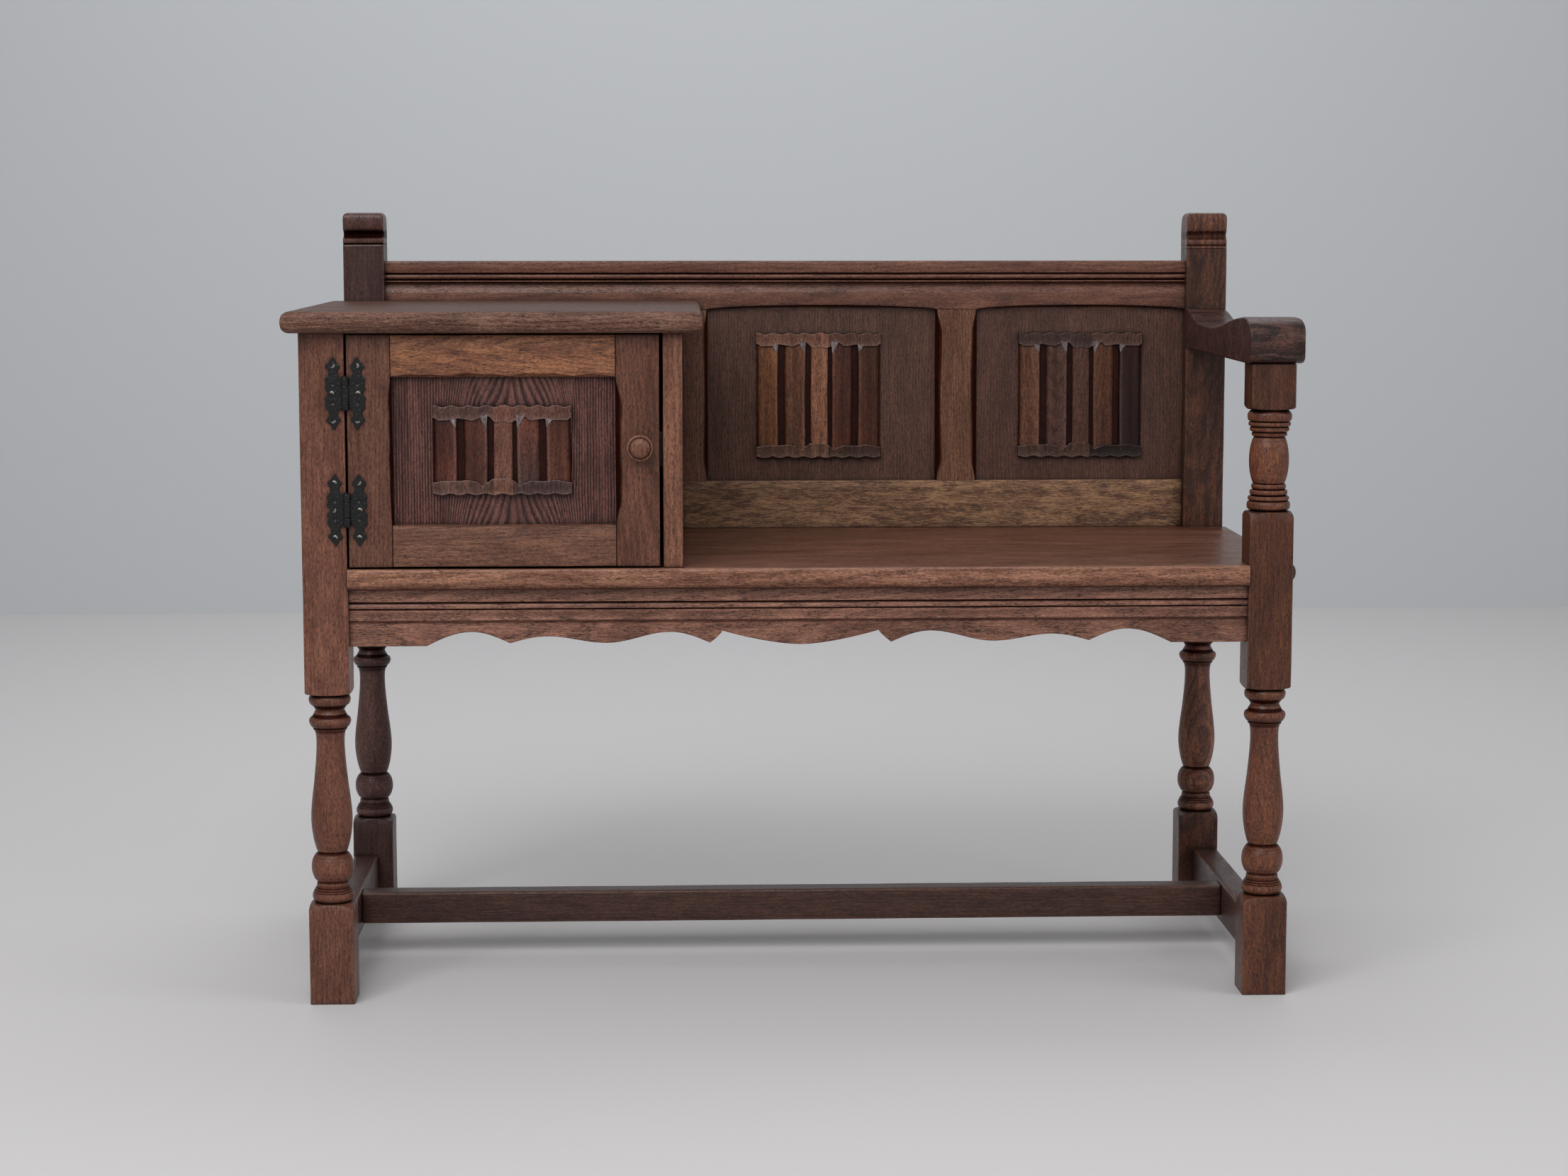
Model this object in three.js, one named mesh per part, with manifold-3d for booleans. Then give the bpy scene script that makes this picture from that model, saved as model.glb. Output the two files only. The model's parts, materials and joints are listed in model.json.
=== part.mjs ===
// Telephone bench in stained oak: a seat with a panelled back, one armrest, and a small
// cabinet with a hinged door under a writing top at the left end.
// Millimetres, +Z up. The front faces -Y and the cabinet is on the -X side.
// The origin is on the floor, under the middle of the bench's bounding box.

import * as THREE from 'three';
import { mergeVertices } from 'three/addons/utils/BufferGeometryUtils.js';
import { ConvexGeometry } from 'three/addons/geometries/ConvexGeometry.js';
import Module from 'manifold-3d';

const wasm = await Module();
wasm.setup();

// Driving dimensions of the frame
const benchWidth = 1020;
const benchDepth = 450;
const backInset = 3;
const postSide = 46;
const seatHeight = 455;
const seatThickness = 21;
const seatNosing = 6;
const seatEdgeRadius = 3;
const seatDish = 0.3;
const backHeight = 818;

// Legs and posts, from the floor up
const frontFootHeight = 105;
const backFootHeight = 117;
const frontBlockBelowApron = 50;
const backBlockBelowApron = 45;
const blockAboveSeat = 55;
const armBlockHeight = 48;
const shoulderDrop = 12;
const blockShoulderDrop = 6;
const shoulderNeckRadius = 18;

// Scroll at the top of each back post
const finialRoll = 10;
const finialBackRadius = 20;
const finialCoveDepth = 10;
const finialCoveHeight = 8;
const finialBeadRadius = 3.5;
const finialGroove = 1.5;

// Aprons under the seat
const apronHeight = 60;
const apronThickness = 22;
const apronSetback = 6;
const apronFlat = 15.5;
const apronBead = 6;
const apronGroove = 1.6;
const apronGrooveDepth = 2.5;
const apronBand = 13;
const apronStep = 2.5;
const apronScallop = 14.5;

// Stretchers between the feet
const sideStretcherBottom = 28;
const sideStretcherHeight = 46;
const sideStretcherThickness = 28;
const sideStretcherInset = 4;
const stretcherChamfer = 3;
const midStretcherBottom = 36.5;
const midStretcherHeight = 35;
const midStretcherThickness = 28;
const midStretcherChamfer = 2;

// Panelled back
const railThickness = 22;
const railSetback = 14;
const topRailDrop = 55;
const topRailHeight = 56;
const topRailFlat = 12.5;
const topRailGroove = 2;
const topRailGrooveDepth = 3;
const topRailBead = 7;
const topRailCove = 8;
const topRailArch = 5;
const lowerRailHeight = 54;
const muntinWidth = 48;
const muntinPastPartition = 29;
const rightPanelWidth = 241;
const muntinBevelWidth = 4.5;
const muntinBevelDepth = 6;
const panelThickness = 10;
const panelSetback = 8;

// Linenfold carvings, whose sizes are shares of the panel that each is fixed to
const backCarvingWidthShare = 0.5455;
const backCarvingHeightShare = 0.737;
const doorCarvingWidthShare = 0.62;
const doorCarvingHeightShare = 0.615;
// How far the carvings were fixed away from the middle of their panels
const backCarvingShifts = { middle: -3.7, right: 0 };
const doorCarvingShift = -1.8;
const doorCarvingRise = 1.2;
const carvingPlate = 2.5;
const carvingRelief = 7;
const carvingBandHeight = 16;
const carvingBandRelief = 5;
const carvingWave = 1.2;

// Cabinet and its writing top
const deskHeight = 718;
const deskThickness = 22;
const deskFrontOverhang = 19;
const deskLeftOverhang = 16;
const deskRightOverhang = 21;
const deskNose = 9;
const cabinetInside = 323;
const partitionThickness = 20;
const cabinetSideThickness = 18;
const cabinetSideInset = 10;

// Door
const doorThickness = 20;
const doorGap = 2;
const doorLatchGap = 3.5;
const doorStileWidth = 45;
const doorRailHeight = 43;
const doorBevelWidth = 4;
const doorBevelDepth = 6;
const doorPanelSetback = 9;
const doorPanelThickness = 8;
const knobInset = 20;
const knobRise = 3.5;
const knobRadius = 13.8;
const knobLength = 18;

// Door hinges, their pins and screws. A hinge's place and height are shares of the door's
// height, and its barrel's height is a share of the leaf's.
const hingeFromEndsShare = 0.249;
const leafHeightShare = 0.3165;
const barrelHeightShare = 0.44;
const leafWidth = 16.2;
const leafThickness = 2;
const barrelRadius = 3.9;
const barrelGap = 0.15;
const barrelStandOff = 0.1;
const leafToBarrel = 0.35;
const pinRadius = 1.9;
const pinClearance = 0.1;
const pinHeadRadius = 3;
const pinHeadHeight = 1.6;
const screwHeadRadius = 3;
const screwHeadHeight = 1.6;
const screwShankRadius = 1.6;
const screwLength = 14;
const screwClearance = 0.3;

// Door catch inside the cabinet
const catchWidth = 12;
const catchDepth = 20;
const catchHeight = 36;
const strikeThickness = 1.2;
const strikeWidth = 14;
const strikeHeight = 30;
const catchGap = 0.3;

// Armrest and the button on the post under it
const armRise = 208;
const armThickness = 47;
const armFrontOverhang = 10;
const armOuterOverhang = 8;
const armInnerOverhang = 5;
const buttonRadius = 9;
const buttonHeight = 7;
const buttonBelowSeat = 10;

// Fineness of the curves, as counts
const turnedSides = 20;
const smallSides = 12;
const pinSides = 16;
const arcSteps = 6;

// One overrun serves every cut that has to break through a face
const overrun = 5;

// Places worked out from the driving dimensions
const half = 0.5;
const postLeft = -benchWidth / 2;
const postRight = benchWidth / 2;
const innerLeft = postLeft + postSide;
const innerRight = postRight - postSide;
const backOuterRight = postRight - backInset;
const backInnerLeft = innerLeft + backInset;
const backInnerRight = innerRight - backInset;
const backPostFront = benchDepth - postSide;
const seatUnder = seatHeight - seatThickness;
const apronBottom = seatUnder - apronHeight;
const armUnder = seatHeight + armRise;
const deskUnder = deskHeight - deskThickness;
const railFront = backPostFront + railSetback;
const railBack = railFront + railThickness;
const topRailTop = backHeight - topRailDrop;
const topRailBottom = topRailTop - topRailHeight;
const lowerRailTop = seatHeight + lowerRailHeight;
const panelFront = railFront + panelSetback;
const partitionLeft = innerLeft + cabinetInside;
const partitionRight = partitionLeft + partitionThickness;
const leftMuntinRight = partitionRight + muntinPastPartition;
const leftMuntinLeft = leftMuntinRight - muntinWidth;
const centreMuntinRight = backInnerRight - rightPanelWidth;
const centreMuntinLeft = centreMuntinRight - muntinWidth;
const doorLeft = innerLeft + doorGap;
const doorRight = partitionLeft - doorLatchGap;
const doorBottom = seatHeight + doorGap;
const doorTop = deskUnder - doorGap;
const doorOpening = {
  left: doorLeft + doorStileWidth,
  right: doorRight - doorStileWidth,
  bottom: doorBottom + doorRailHeight,
  top: doorTop - doorRailHeight,
};
const doorHeight = doorTop - doorBottom;
const leafHeight = doorHeight * leafHeightShare;
const barrelHeight = leafHeight * barrelHeightShare;
const hingeAxis = { x: (innerLeft + doorLeft) / 2, y: -(barrelRadius + barrelStandOff) };
const hingeHeights = {
  upper: doorTop - doorHeight * hingeFromEndsShare,
  lower: doorBottom + doorHeight * hingeFromEndsShare,
};
const screwHoleRadius = screwShankRadius + screwClearance;

// Turned stretch of a leg, from the foot block up: shares of its length and of half the post
const legTurningShares = [
  [0, 0.8], [0.01, 0.87], [0.023, 0.92], [0.038, 0.92], [0.052, 0.885], [0.079, 0.73],
  [0.098, 0.69], [0.112, 0.8], [0.132, 0.885], [0.16, 0.94], [0.19, 0.93], [0.212, 0.87],
  [0.232, 0.74], [0.241, 0.668], [0.28, 0.78], [0.344, 0.89], [0.4, 0.925], [0.46, 0.897],
  [0.535, 0.82], [0.624, 0.722], [0.7, 0.658], [0.78, 0.632], [0.816, 0.68], [0.843, 0.827],
  [0.857, 0.905], [0.87, 0.935], [0.883, 0.9], [0.903, 0.74], [0.9225, 0.65], [0.938, 0.73],
  [0.957, 0.895], [0.974, 0.938], [0.987, 0.9], [1, 0.79],
];

// Turned stretch between the seat and the armrest, in the same shares
const armTurningShares = [
  [0, 0.8], [0.016, 0.91], [0.04, 0.97], [0.07, 0.97], [0.098, 0.89], [0.114, 0.925],
  [0.14, 0.91], [0.152, 0.8], [0.17, 0.84], [0.196, 0.84], [0.211, 0.73], [0.226, 0.77],
  [0.252, 0.765], [0.267, 0.705], [0.33, 0.805], [0.41, 0.875], [0.5, 0.897], [0.59, 0.875],
  [0.67, 0.805], [0.733, 0.71], [0.746, 0.785], [0.77, 0.79], [0.78, 0.77], [0.796, 0.87],
  [0.82, 0.875], [0.832, 0.85], [0.846, 0.94], [0.87, 0.94], [0.882, 0.9], [0.905, 0.975],
  [0.935, 0.994], [0.965, 0.965], [0.984, 0.89], [1, 0.82],
];

// Armrest seen from the side: shares of the run from back to front and of its thickness
const armProfileShares = [
  [0, 0.957], [0.037, 0.926], [0.073, 0.85], [0.122, 0.745], [0.195, 0.66], [0.29, 0.626],
  [0.415, 0.63], [0.561, 0.709], [0.685, 0.851], [0.756, 0.915], [0.82, 0.96], [0.89, 1],
  [0.941, 0.99], [0.971, 0.915], [0.99, 0.77], [1, 0.51], [1, 0.3], [0.994, 0.13],
  [0.98, 0.02], [0.968, 0],
];

// Half of a hinge leaf's outline, from the notch in its outer edge up to the tip and back to
// the barrel: shares of the leaf's width from the barrel side, and of its height
const leafOutlineShares = [
  [0.82, 0], [0.84, 0.03], [0.93, 0.055], [1, 0.075], [0.92, 0.115], [0.97, 0.145],
  [0.92, 0.175], [1, 0.215], [0.82, 0.235], [0.76, 0.265], [0.8, 0.31], [1, 0.365],
  [0.84, 0.4], [0.68, 0.415], [0.47, 0.5], [0.28, 0.415], [0.14, 0.395], [0.02, 0.365],
  [0.22, 0.31], [0.24, 0.265], [0.16, 0.225], [0, 0.2],
];
const leafScrewShares = [[0.5, 0.373], [0.55, 0], [0.5, -0.373]];

// Folds of the linenfold across its width: where each starts and ends, and its height
const foldShares = [
  [0.01, 0.17, 0.72], [0.215, 0.385, 0.85], [0.43, 0.575, 1], [0.605, 0.775, 0.85],
  [0.815, 0.99, 0.72],
];
const foldCrownShares = [[0, 0.72], [0.12, 0.93], [0.32, 1], [0.68, 1], [0.88, 0.93], [1, 0.72]];
const carvingWaves = 7;

// Knob, from its foot on the door to its crown: shares of its length and radius
const knobShares = [
  [0, 0.72], [0.16, 0.76], [0.28, 0.66], [0.4, 0.72], [0.5, 0.9], [0.6, 1], [0.7, 1],
  [0.76, 0.95], [0.79, 0.86], [0.88, 0.8], [0.96, 0.56], [1, 0],
];
const buttonShares = [[0, 1], [0.35, 0.97], [0.7, 0.78], [0.92, 0.42], [1, 0]];
const pinHeadShares = [[0, 1], [0.45, 0.92], [0.8, 0.6], [1, 0]];
const screwHeadShares = [[0, 1], [0.4, 0.98], [0.75, 0.75], [1, 0.3], [1, 0]];

// Closed geometry to solid, and back again
function solidFrom(geometry) {
  const bare = geometry.toNonIndexed ? geometry.clone() : geometry;
  for (const name of Object.keys(bare.attributes)) {
    if (name !== 'position') bare.deleteAttribute(name);
  }
  const merged = mergeVertices(bare, 1e-5);
  const index = merged.index.array;
  const triangles = [];
  for (let i = 0; i < index.length; i += 3) {
    const [a, b, c] = [index[i], index[i + 1], index[i + 2]];
    if (a !== b && b !== c && c !== a) triangles.push(a, b, c);
  }
  const mesh = new wasm.Mesh({
    numProp: 3,
    vertProperties: new Float32Array(merged.attributes.position.array),
    triVerts: new Uint32Array(triangles),
  });
  return new wasm.Manifold(mesh);
}

function geometryFrom(solid) {
  const mesh = solid.getMesh();
  const geometry = new THREE.BufferGeometry();
  geometry.setAttribute('position', new THREE.BufferAttribute(mesh.vertProperties, 3));
  geometry.setIndex(new THREE.BufferAttribute(mesh.triVerts, 1));
  const faceted = geometry.toNonIndexed();
  faceted.computeVertexNormals();
  return faceted;
}

function outline(points) {
  const flat = points.map(([a, b]) => new THREE.Vector2(a, b));
  return new THREE.Shape(THREE.ShapeUtils.isClockWise(flat) ? flat.reverse() : flat);
}

function extruded(points, length) {
  return new THREE.ExtrudeGeometry(outline(points), { depth: length, bevelEnabled: false });
}

// An outline in (y, z), drawn out along X
function alongX(points, from, to) {
  const geometry = extruded(points, to - from);
  geometry.applyMatrix4(new THREE.Matrix4().set(0, 0, 1, 0, 1, 0, 0, 0, 0, 1, 0, 0, 0, 0, 0, 1));
  return solidFrom(geometry.translate(from, 0, 0));
}

// An outline in (x, z), drawn out along Y
function alongY(points, from, to) {
  const geometry = extruded(points, to - from);
  return solidFrom(geometry.rotateX(Math.PI / 2).translate(0, to, 0));
}

// An outline in (x, y), drawn out along Z
function alongZ(points, from, to) {
  return solidFrom(extruded(points, to - from).translate(0, 0, from));
}

function block(x, y, z) {
  const geometry = new THREE.BoxGeometry(x[1] - x[0], y[1] - y[0], z[1] - z[0]);
  const middle = [x, y, z].map(([low, high]) => (low + high) / 2);
  return solidFrom(geometry.translate(...middle));
}

// A profile of (height, radius) turned about an upright axis through x, y
function turned(profile, x, y, sides) {
  const points = profile.map(([height, radius]) => new THREE.Vector2(radius, height));
  const closed = [new THREE.Vector2(0, profile[0][0]), ...points];
  closed.push(new THREE.Vector2(0, profile[profile.length - 1][0]));
  const geometry = new THREE.LatheGeometry(closed, sides).rotateX(Math.PI / 2);
  return solidFrom(geometry.translate(x, y, 0));
}

function arc(centre, radius, from, to, steps = arcSteps) {
  const points = [];
  for (let i = 0; i <= steps; i += 1) {
    const angle = THREE.MathUtils.degToRad(from + ((to - from) * i) / steps);
    points.push([centre[0] + radius * Math.cos(angle), centre[1] + radius * Math.sin(angle)]);
  }
  return points;
}

function scaledShares(shares, start, span, radius) {
  return shares.map(([along, out]) => [start + span * along, radius * out]);
}

const bench = new THREE.Group();

function addPiece(name, solid, color, roughness = 0.5, metalness = 0) {
  const material = new THREE.MeshStandardMaterial({ color, roughness, metalness });
  const mesh = new THREE.Mesh(geometryFrom(solid), material);
  mesh.name = name;
  bench.add(mesh);
}

// Posts: square blocks that the lathe rounded off where each turned stretch starts

// The lathe's tool leaves a dome at the end of a block, which arches on its four faces
function domedProfile(bottom, top, bottomDrop, topDrop) {
  const corner = postSide * Math.SQRT1_2 + finialGroove;
  const reach = corner - shoulderNeckRadius;
  const profile = [];
  const addDome = (height, drop, direction) => {
    for (let i = 0; i <= arcSteps; i += 1) {
      const angle = (Math.PI / 2) * (direction > 0 ? i : arcSteps - i) / arcSteps;
      const radius = shoulderNeckRadius + reach * Math.cos(angle);
      profile.push([height - direction * drop * (1 - Math.sin(angle)), radius]);
    }
  };
  if (bottomDrop > 0) addDome(bottom, bottomDrop, -1);
  else profile.push([bottom, corner]);
  if (topDrop > 0) addDome(top, topDrop, 1);
  else profile.push([top, corner]);
  return profile;
}

function postBlock(x, y, bottom, top, bottomDrop, topDrop) {
  const square = block([x - postSide / 2, x + postSide / 2],
    [y - postSide / 2, y + postSide / 2], [bottom, top]);
  if (bottomDrop === 0 && topDrop === 0) return square;
  return square.intersect(turned(domedProfile(bottom, top, bottomDrop, topDrop), x, y, turnedSides));
}

function turnedStretch(shares, x, y, bottom, top) {
  const profile = scaledShares(shares, bottom, top - bottom, postSide / 2);
  const sunk = finialGroove;
  const radii = [profile[0][1], profile[profile.length - 1][1]];
  profile.unshift([bottom - sunk, radii[0]]);
  profile.push([top + sunk, radii[1]]);
  return turned(profile, x, y, turnedSides);
}

function frontPost(x, topBlockTop) {
  const y = postSide / 2;
  const blockBottom = apronBottom - frontBlockBelowApron;
  const foot = postBlock(x, y, 0, frontFootHeight, 0, shoulderDrop);
  const leg = turnedStretch(legTurningShares, x, y, frontFootHeight, blockBottom);
  const hasArm = topBlockTop === armUnder;
  const seatBlockTop = hasArm ? seatHeight + blockAboveSeat : topBlockTop;
  const seatBlock = postBlock(x, y, blockBottom, seatBlockTop, blockShoulderDrop,
    hasArm ? shoulderDrop : 0);
  const post = foot.add(leg).add(seatBlock);
  if (!hasArm) return post;
  const armBlockBottom = armUnder - armBlockHeight;
  const baluster = turnedStretch(armTurningShares, x, y, seatBlockTop, armBlockBottom);
  return post.add(baluster).add(postBlock(x, y, armBlockBottom, armUnder, blockShoulderDrop, 0));
}

// The scroll: a roll at the front, a cove and a bead under it, and a rounded back
function finialOutline(bottom) {
  const front = backPostFront;
  const back = benchDepth;
  const rollCentre = [front + finialRoll, backHeight - finialRoll];
  const rollBottom = backHeight - 2 * finialRoll;
  const coveBottom = rollBottom - finialCoveHeight;
  const beadCentre = [front + finialBeadRadius, coveBottom - finialBeadRadius];
  const flatTop = coveBottom - 2 * finialBeadRadius - finialGroove;
  return [
    [front, bottom],
    [back, bottom],
    ...arc([back - finialBackRadius, backHeight - finialBackRadius], finialBackRadius, 0, 90),
    ...arc(rollCentre, finialRoll, 90, 250, 2 * arcSteps),
    [front + finialCoveDepth, rollBottom - finialCoveHeight * half / 2],
    [front + finialCoveDepth * half, coveBottom],
    ...arc(beadCentre, finialBeadRadius, 90, 270),
    [front + finialGroove, flatTop + finialGroove * half],
    [front, flatTop],
  ];
}

function backPost(x) {
  const y = benchDepth - postSide / 2;
  const blockBottom = apronBottom - backBlockBelowApron;
  const foot = postBlock(x, y, 0, backFootHeight, 0, shoulderDrop);
  const leg = turnedStretch(legTurningShares, x, y, backFootHeight, blockBottom);
  const long = alongX(finialOutline(blockBottom), x - postSide / 2, x + postSide / 2);
  const dome = turned(domedProfile(blockBottom, backHeight + overrun, blockShoulderDrop, 0),
    x, y, turnedSides);
  return foot.add(leg).add(long.intersect(dome));
}

const frontPostX = (innerRight + postRight) / 2;
const backPostX = frontPostX - backInset;
const screwHoles = [];

// Hinges: two leaves on one pin, screwed flat to the post and to the door

function leafOutline(direction, height) {
  const edge = hingeAxis.x + direction * (barrelRadius + leafToBarrel);
  const upper = leafOutlineShares.map(([across, up]) => (
    [edge + direction * across * leafWidth, height + up * leafHeight]));
  const lower = leafOutlineShares.slice(1).reverse().map(([across, up]) => (
    [edge + direction * across * leafWidth, height - up * leafHeight]));
  return [...upper, ...lower];
}

function screwPlaces(direction, height) {
  const edge = hingeAxis.x + direction * (barrelRadius + leafToBarrel);
  return leafScrewShares.map(([across, up]) => (
    [edge + direction * across * leafWidth, height + up * leafHeight]));
}

// A round rod that lies along Y, for screw holes, screws and the knob
function lyingRod(profile, x, z, sides) {
  const points = profile.map(([out, radius]) => new THREE.Vector2(radius, out));
  const closed = [new THREE.Vector2(0, profile[0][0]), ...points];
  if (profile[profile.length - 1][1] > 0) {
    closed.push(new THREE.Vector2(0, profile[profile.length - 1][0]));
  }
  const geometry = new THREE.LatheGeometry(closed, sides).rotateX(Math.PI);
  return solidFrom(geometry.translate(x, 0, z));
}

function barrelSpans(height, middleOnly) {
  const quarter = barrelHeight / 4;
  if (middleOnly) return [[height - quarter + barrelGap, height + quarter - barrelGap]];
  return [[height - 2 * quarter, height - quarter], [height + quarter, height + 2 * quarter]];
}

function hingeLeaf(direction, height, middleOnly) {
  let leaf = alongY(leafOutline(direction, height), -leafThickness, 0);
  const edge = hingeAxis.x + direction * (barrelRadius + leafToBarrel + leafThickness);
  for (const span of barrelSpans(height, middleOnly)) {
    const barrel = turned([[span[0], barrelRadius], [span[1], barrelRadius]],
      hingeAxis.x, hingeAxis.y, pinSides);
    const web = block([Math.min(edge, hingeAxis.x), Math.max(edge, hingeAxis.x)],
      [-leafThickness, 0], span);
    leaf = leaf.add(barrel).add(web);
  }
  const bore = turned([
    [height - barrelHeight, pinRadius + pinClearance],
    [height + barrelHeight, pinRadius + pinClearance],
  ], hingeAxis.x, hingeAxis.y, pinSides);
  leaf = leaf.subtract(bore);
  for (const [x, z] of screwPlaces(direction, height)) {
    const hole = lyingRod([[-overrun, screwHoleRadius], [leafThickness + overrun, screwHoleRadius]],
      x, z, smallSides);
    leaf = leaf.subtract(hole);
    screwHoles.push({ x, z, direction });
  }
  return leaf;
}

function hingePin(height) {
  const low = height - barrelHeight / 2;
  const high = height + barrelHeight / 2;
  const head = scaledShares(pinHeadShares, high, pinHeadHeight, pinHeadRadius);
  const tail = scaledShares(pinHeadShares, low, -pinHeadHeight, pinHeadRadius).reverse();
  return turned([...tail, [low, pinRadius], [high, pinRadius], ...head],
    hingeAxis.x, hingeAxis.y, pinSides);
}

function screw(x, z) {
  const seat = leafThickness;
  const head = scaledShares(screwHeadShares, seat, screwHeadHeight, screwHeadRadius);
  const tip = seat - screwLength;
  return lyingRod([
    [tip, screwShankRadius * half], [tip + screwShankRadius, screwShankRadius],
    [seat, screwShankRadius], ...head,
  ], x, z, smallSides);
}

function pilotHole(x, z) {
  const depth = screwLength - leafThickness + overrun;
  return lyingRod([[-depth, screwHoleRadius], [overrun, screwHoleRadius]], x, z, smallSides);
}

const iron = 0x1d2022;
const zinc = 0x8f8d88;
const hingeNames = { upper: 'upper_hinge', lower: 'lower_hinge' };
for (const [place, name] of Object.entries(hingeNames)) {
  const height = hingeHeights[place];
  addPiece(`${name}_post_leaf`, hingeLeaf(-1, height, false), iron, 0.6, 0.5);
  addPiece(`${name}_door_leaf`, hingeLeaf(1, height, true), iron, 0.6, 0.5);
  addPiece(`${name}_pin`, hingePin(height), iron, 0.5, 0.6);
}
const screwNumbers = { '-1': 0, 1: 0 };
for (const hole of screwHoles) {
  screwNumbers[hole.direction] += 1;
  const side = hole.direction < 0 ? 'post' : 'door';
  addPiece(`hinge_screw_${side}_${screwNumbers[hole.direction]}`, screw(hole.x, hole.z),
    zinc, 0.35, 0.9);
}
function drilled(solid, direction) {
  return screwHoles.filter((hole) => hole.direction === direction)
    .reduce((left, hole) => left.subtract(pilotHole(hole.x, hole.z)), solid);
}

const oakPost = 0x6b4638;
addPiece('front_left_post', drilled(frontPost(-frontPostX, deskUnder), -1), oakPost);
addPiece('front_right_post', frontPost(frontPostX, armUnder), oakPost);
addPiece('back_left_post', backPost(-backPostX), oakPost);
addPiece('back_right_post', backPost(backPostX), oakPost);

// Seat: one board, notched round the four posts, with a nosing between the front posts. The
// open part beside the cabinet is a hair lower than the part that the cabinet stands on.
function seatBoard() {
  const front = -seatNosing;
  const plan = [
    [innerLeft, front], [innerRight, front], [innerRight, postSide], [postRight, postSide],
    [postRight, backPostFront], [backInnerRight, backPostFront], [backInnerRight, railFront],
    [backInnerLeft, railFront], [backInnerLeft, backPostFront], [postLeft, backPostFront],
    [postLeft, postSide], [innerLeft, postSide],
  ];
  const radius = seatEdgeRadius;
  const section = [
    ...arc([front + radius, seatHeight - radius], radius, 90, 180),
    ...arc([front + radius, seatUnder + radius], radius, 180, 270),
    [benchDepth, seatUnder],
    [benchDepth, seatHeight],
  ];
  const dish = block([partitionRight, postRight + overrun], [front - overrun, railFront + overrun],
    [seatHeight - seatDish, seatHeight + overrun]);
  return alongZ(plan, seatUnder, seatHeight)
    .intersect(alongX(section, postLeft, postRight))
    .subtract(dish);
}
addPiece('seat_board', seatBoard(), 0x5a3d30, 0.35);

// Front apron: a moulded board with a scalloped lower edge, cut alike on both halves

function apronSection() {
  const front = apronSetback;
  const bead = apronBead / 2;
  const grooveTop = seatUnder - apronFlat;
  const beadTop = grooveTop - apronGroove;
  const beadBottom = beadTop - apronBead;
  const bandTop = beadBottom - apronGroove * half;
  const bandBottom = bandTop - apronBand;
  return [
    [front + apronThickness, apronBottom],
    [front + apronThickness, seatUnder],
    [front, seatUnder],
    [front, grooveTop],
    [front + apronGrooveDepth, grooveTop],
    [front + apronGrooveDepth, beadTop],
    ...arc([front + bead, beadTop - bead], bead, 110, 250),
    [front + apronGrooveDepth, beadBottom],
    [front + apronGrooveDepth, bandTop],
    [front + apronStep * half, bandTop],
    [front + apronStep * half, bandBottom + apronStep],
    [front + apronStep, bandBottom],
    [front + apronStep, apronBottom],
  ];
}

// The lower edge from the middle outwards: a belly that rises to a point, then three arches.
// Each stretch runs to a share of the half width and a share of the scallop's height.
const scallopShares = [
  { to: 0.174, height: 1, curve: (t) => t ** 1.6 },
  { to: 0.202, height: 0.14, curve: (t) => t ** 0.8 },
  { to: 0.29, height: 0.93, curve: (t) => Math.sin((Math.PI / 2) * t) },
  { to: 0.431, height: 0.17, curve: (t) => (1 - Math.cos(Math.PI * t)) / 2 },
  { to: 0.5625, height: 0.65, curve: (t) => (1 - Math.cos(Math.PI * t)) / 2 },
  { to: 0.6455, height: 0.17, curve: (t) => 1 - Math.cos((Math.PI / 2) * t) },
  { to: 0.731, height: 1, curve: (t) => Math.sin((Math.PI / 2) * t) },
  { to: 0.83, height: 0, curve: (t) => 1 - Math.cos((Math.PI / 2) * t) },
];

function scallopPoints() {
  const halfWidth = innerRight;
  const points = [[0, 0]];
  let [fromX, fromZ] = [0, 0];
  for (const stretch of scallopShares) {
    const toX = stretch.to * halfWidth;
    const toZ = stretch.height * apronScallop;
    for (let i = 1; i <= arcSteps; i += 1) {
      const t = i / arcSteps;
      points.push([fromX + (toX - fromX) * t, fromZ + (toZ - fromZ) * stretch.curve(t)]);
    }
    [fromX, fromZ] = [toX, toZ];
  }
  return points;
}

function frontApron() {
  const rightHalf = scallopPoints().map(([x, rise]) => [x, apronBottom + rise]);
  const leftHalf = rightHalf.slice(1).reverse().map(([x, z]) => [-x, z]);
  const end = rightHalf[rightHalf.length - 1][0];
  const cut = [
    ...leftHalf, ...rightHalf, [end, apronBottom - overrun], [-end, apronBottom - overrun],
  ];
  const board = alongX(apronSection(), innerLeft, innerRight);
  return board.subtract(alongY(cut, 0, benchDepth));
}
addPiece('front_apron', frontApron(), 0x6a4436);

// Plain aprons at the ends and the back
const apronSpan = [apronBottom, seatUnder];
const endApron = apronSetback + apronThickness;
const betweenPosts = [postSide, backPostFront];
addPiece('side_apron_left',
  block([postLeft + apronSetback, postLeft + endApron], betweenPosts, apronSpan), oakPost);
addPiece('side_apron_right',
  block([postRight - endApron, postRight - apronSetback], betweenPosts, apronSpan), oakPost);
addPiece('back_apron',
  block([backInnerLeft, backInnerRight], [benchDepth - endApron, benchDepth - apronSetback],
    apronSpan),
  oakPost);

// Stretchers: an H on edge between the feet, with its upper edges eased

function chamferedSection(low, high, bottom, height, chamfer) {
  const top = bottom + height;
  return [
    [low, bottom], [high, bottom], [high, top - chamfer], [high - chamfer, top],
    [low + chamfer, top], [low, top - chamfer],
  ];
}

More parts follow.
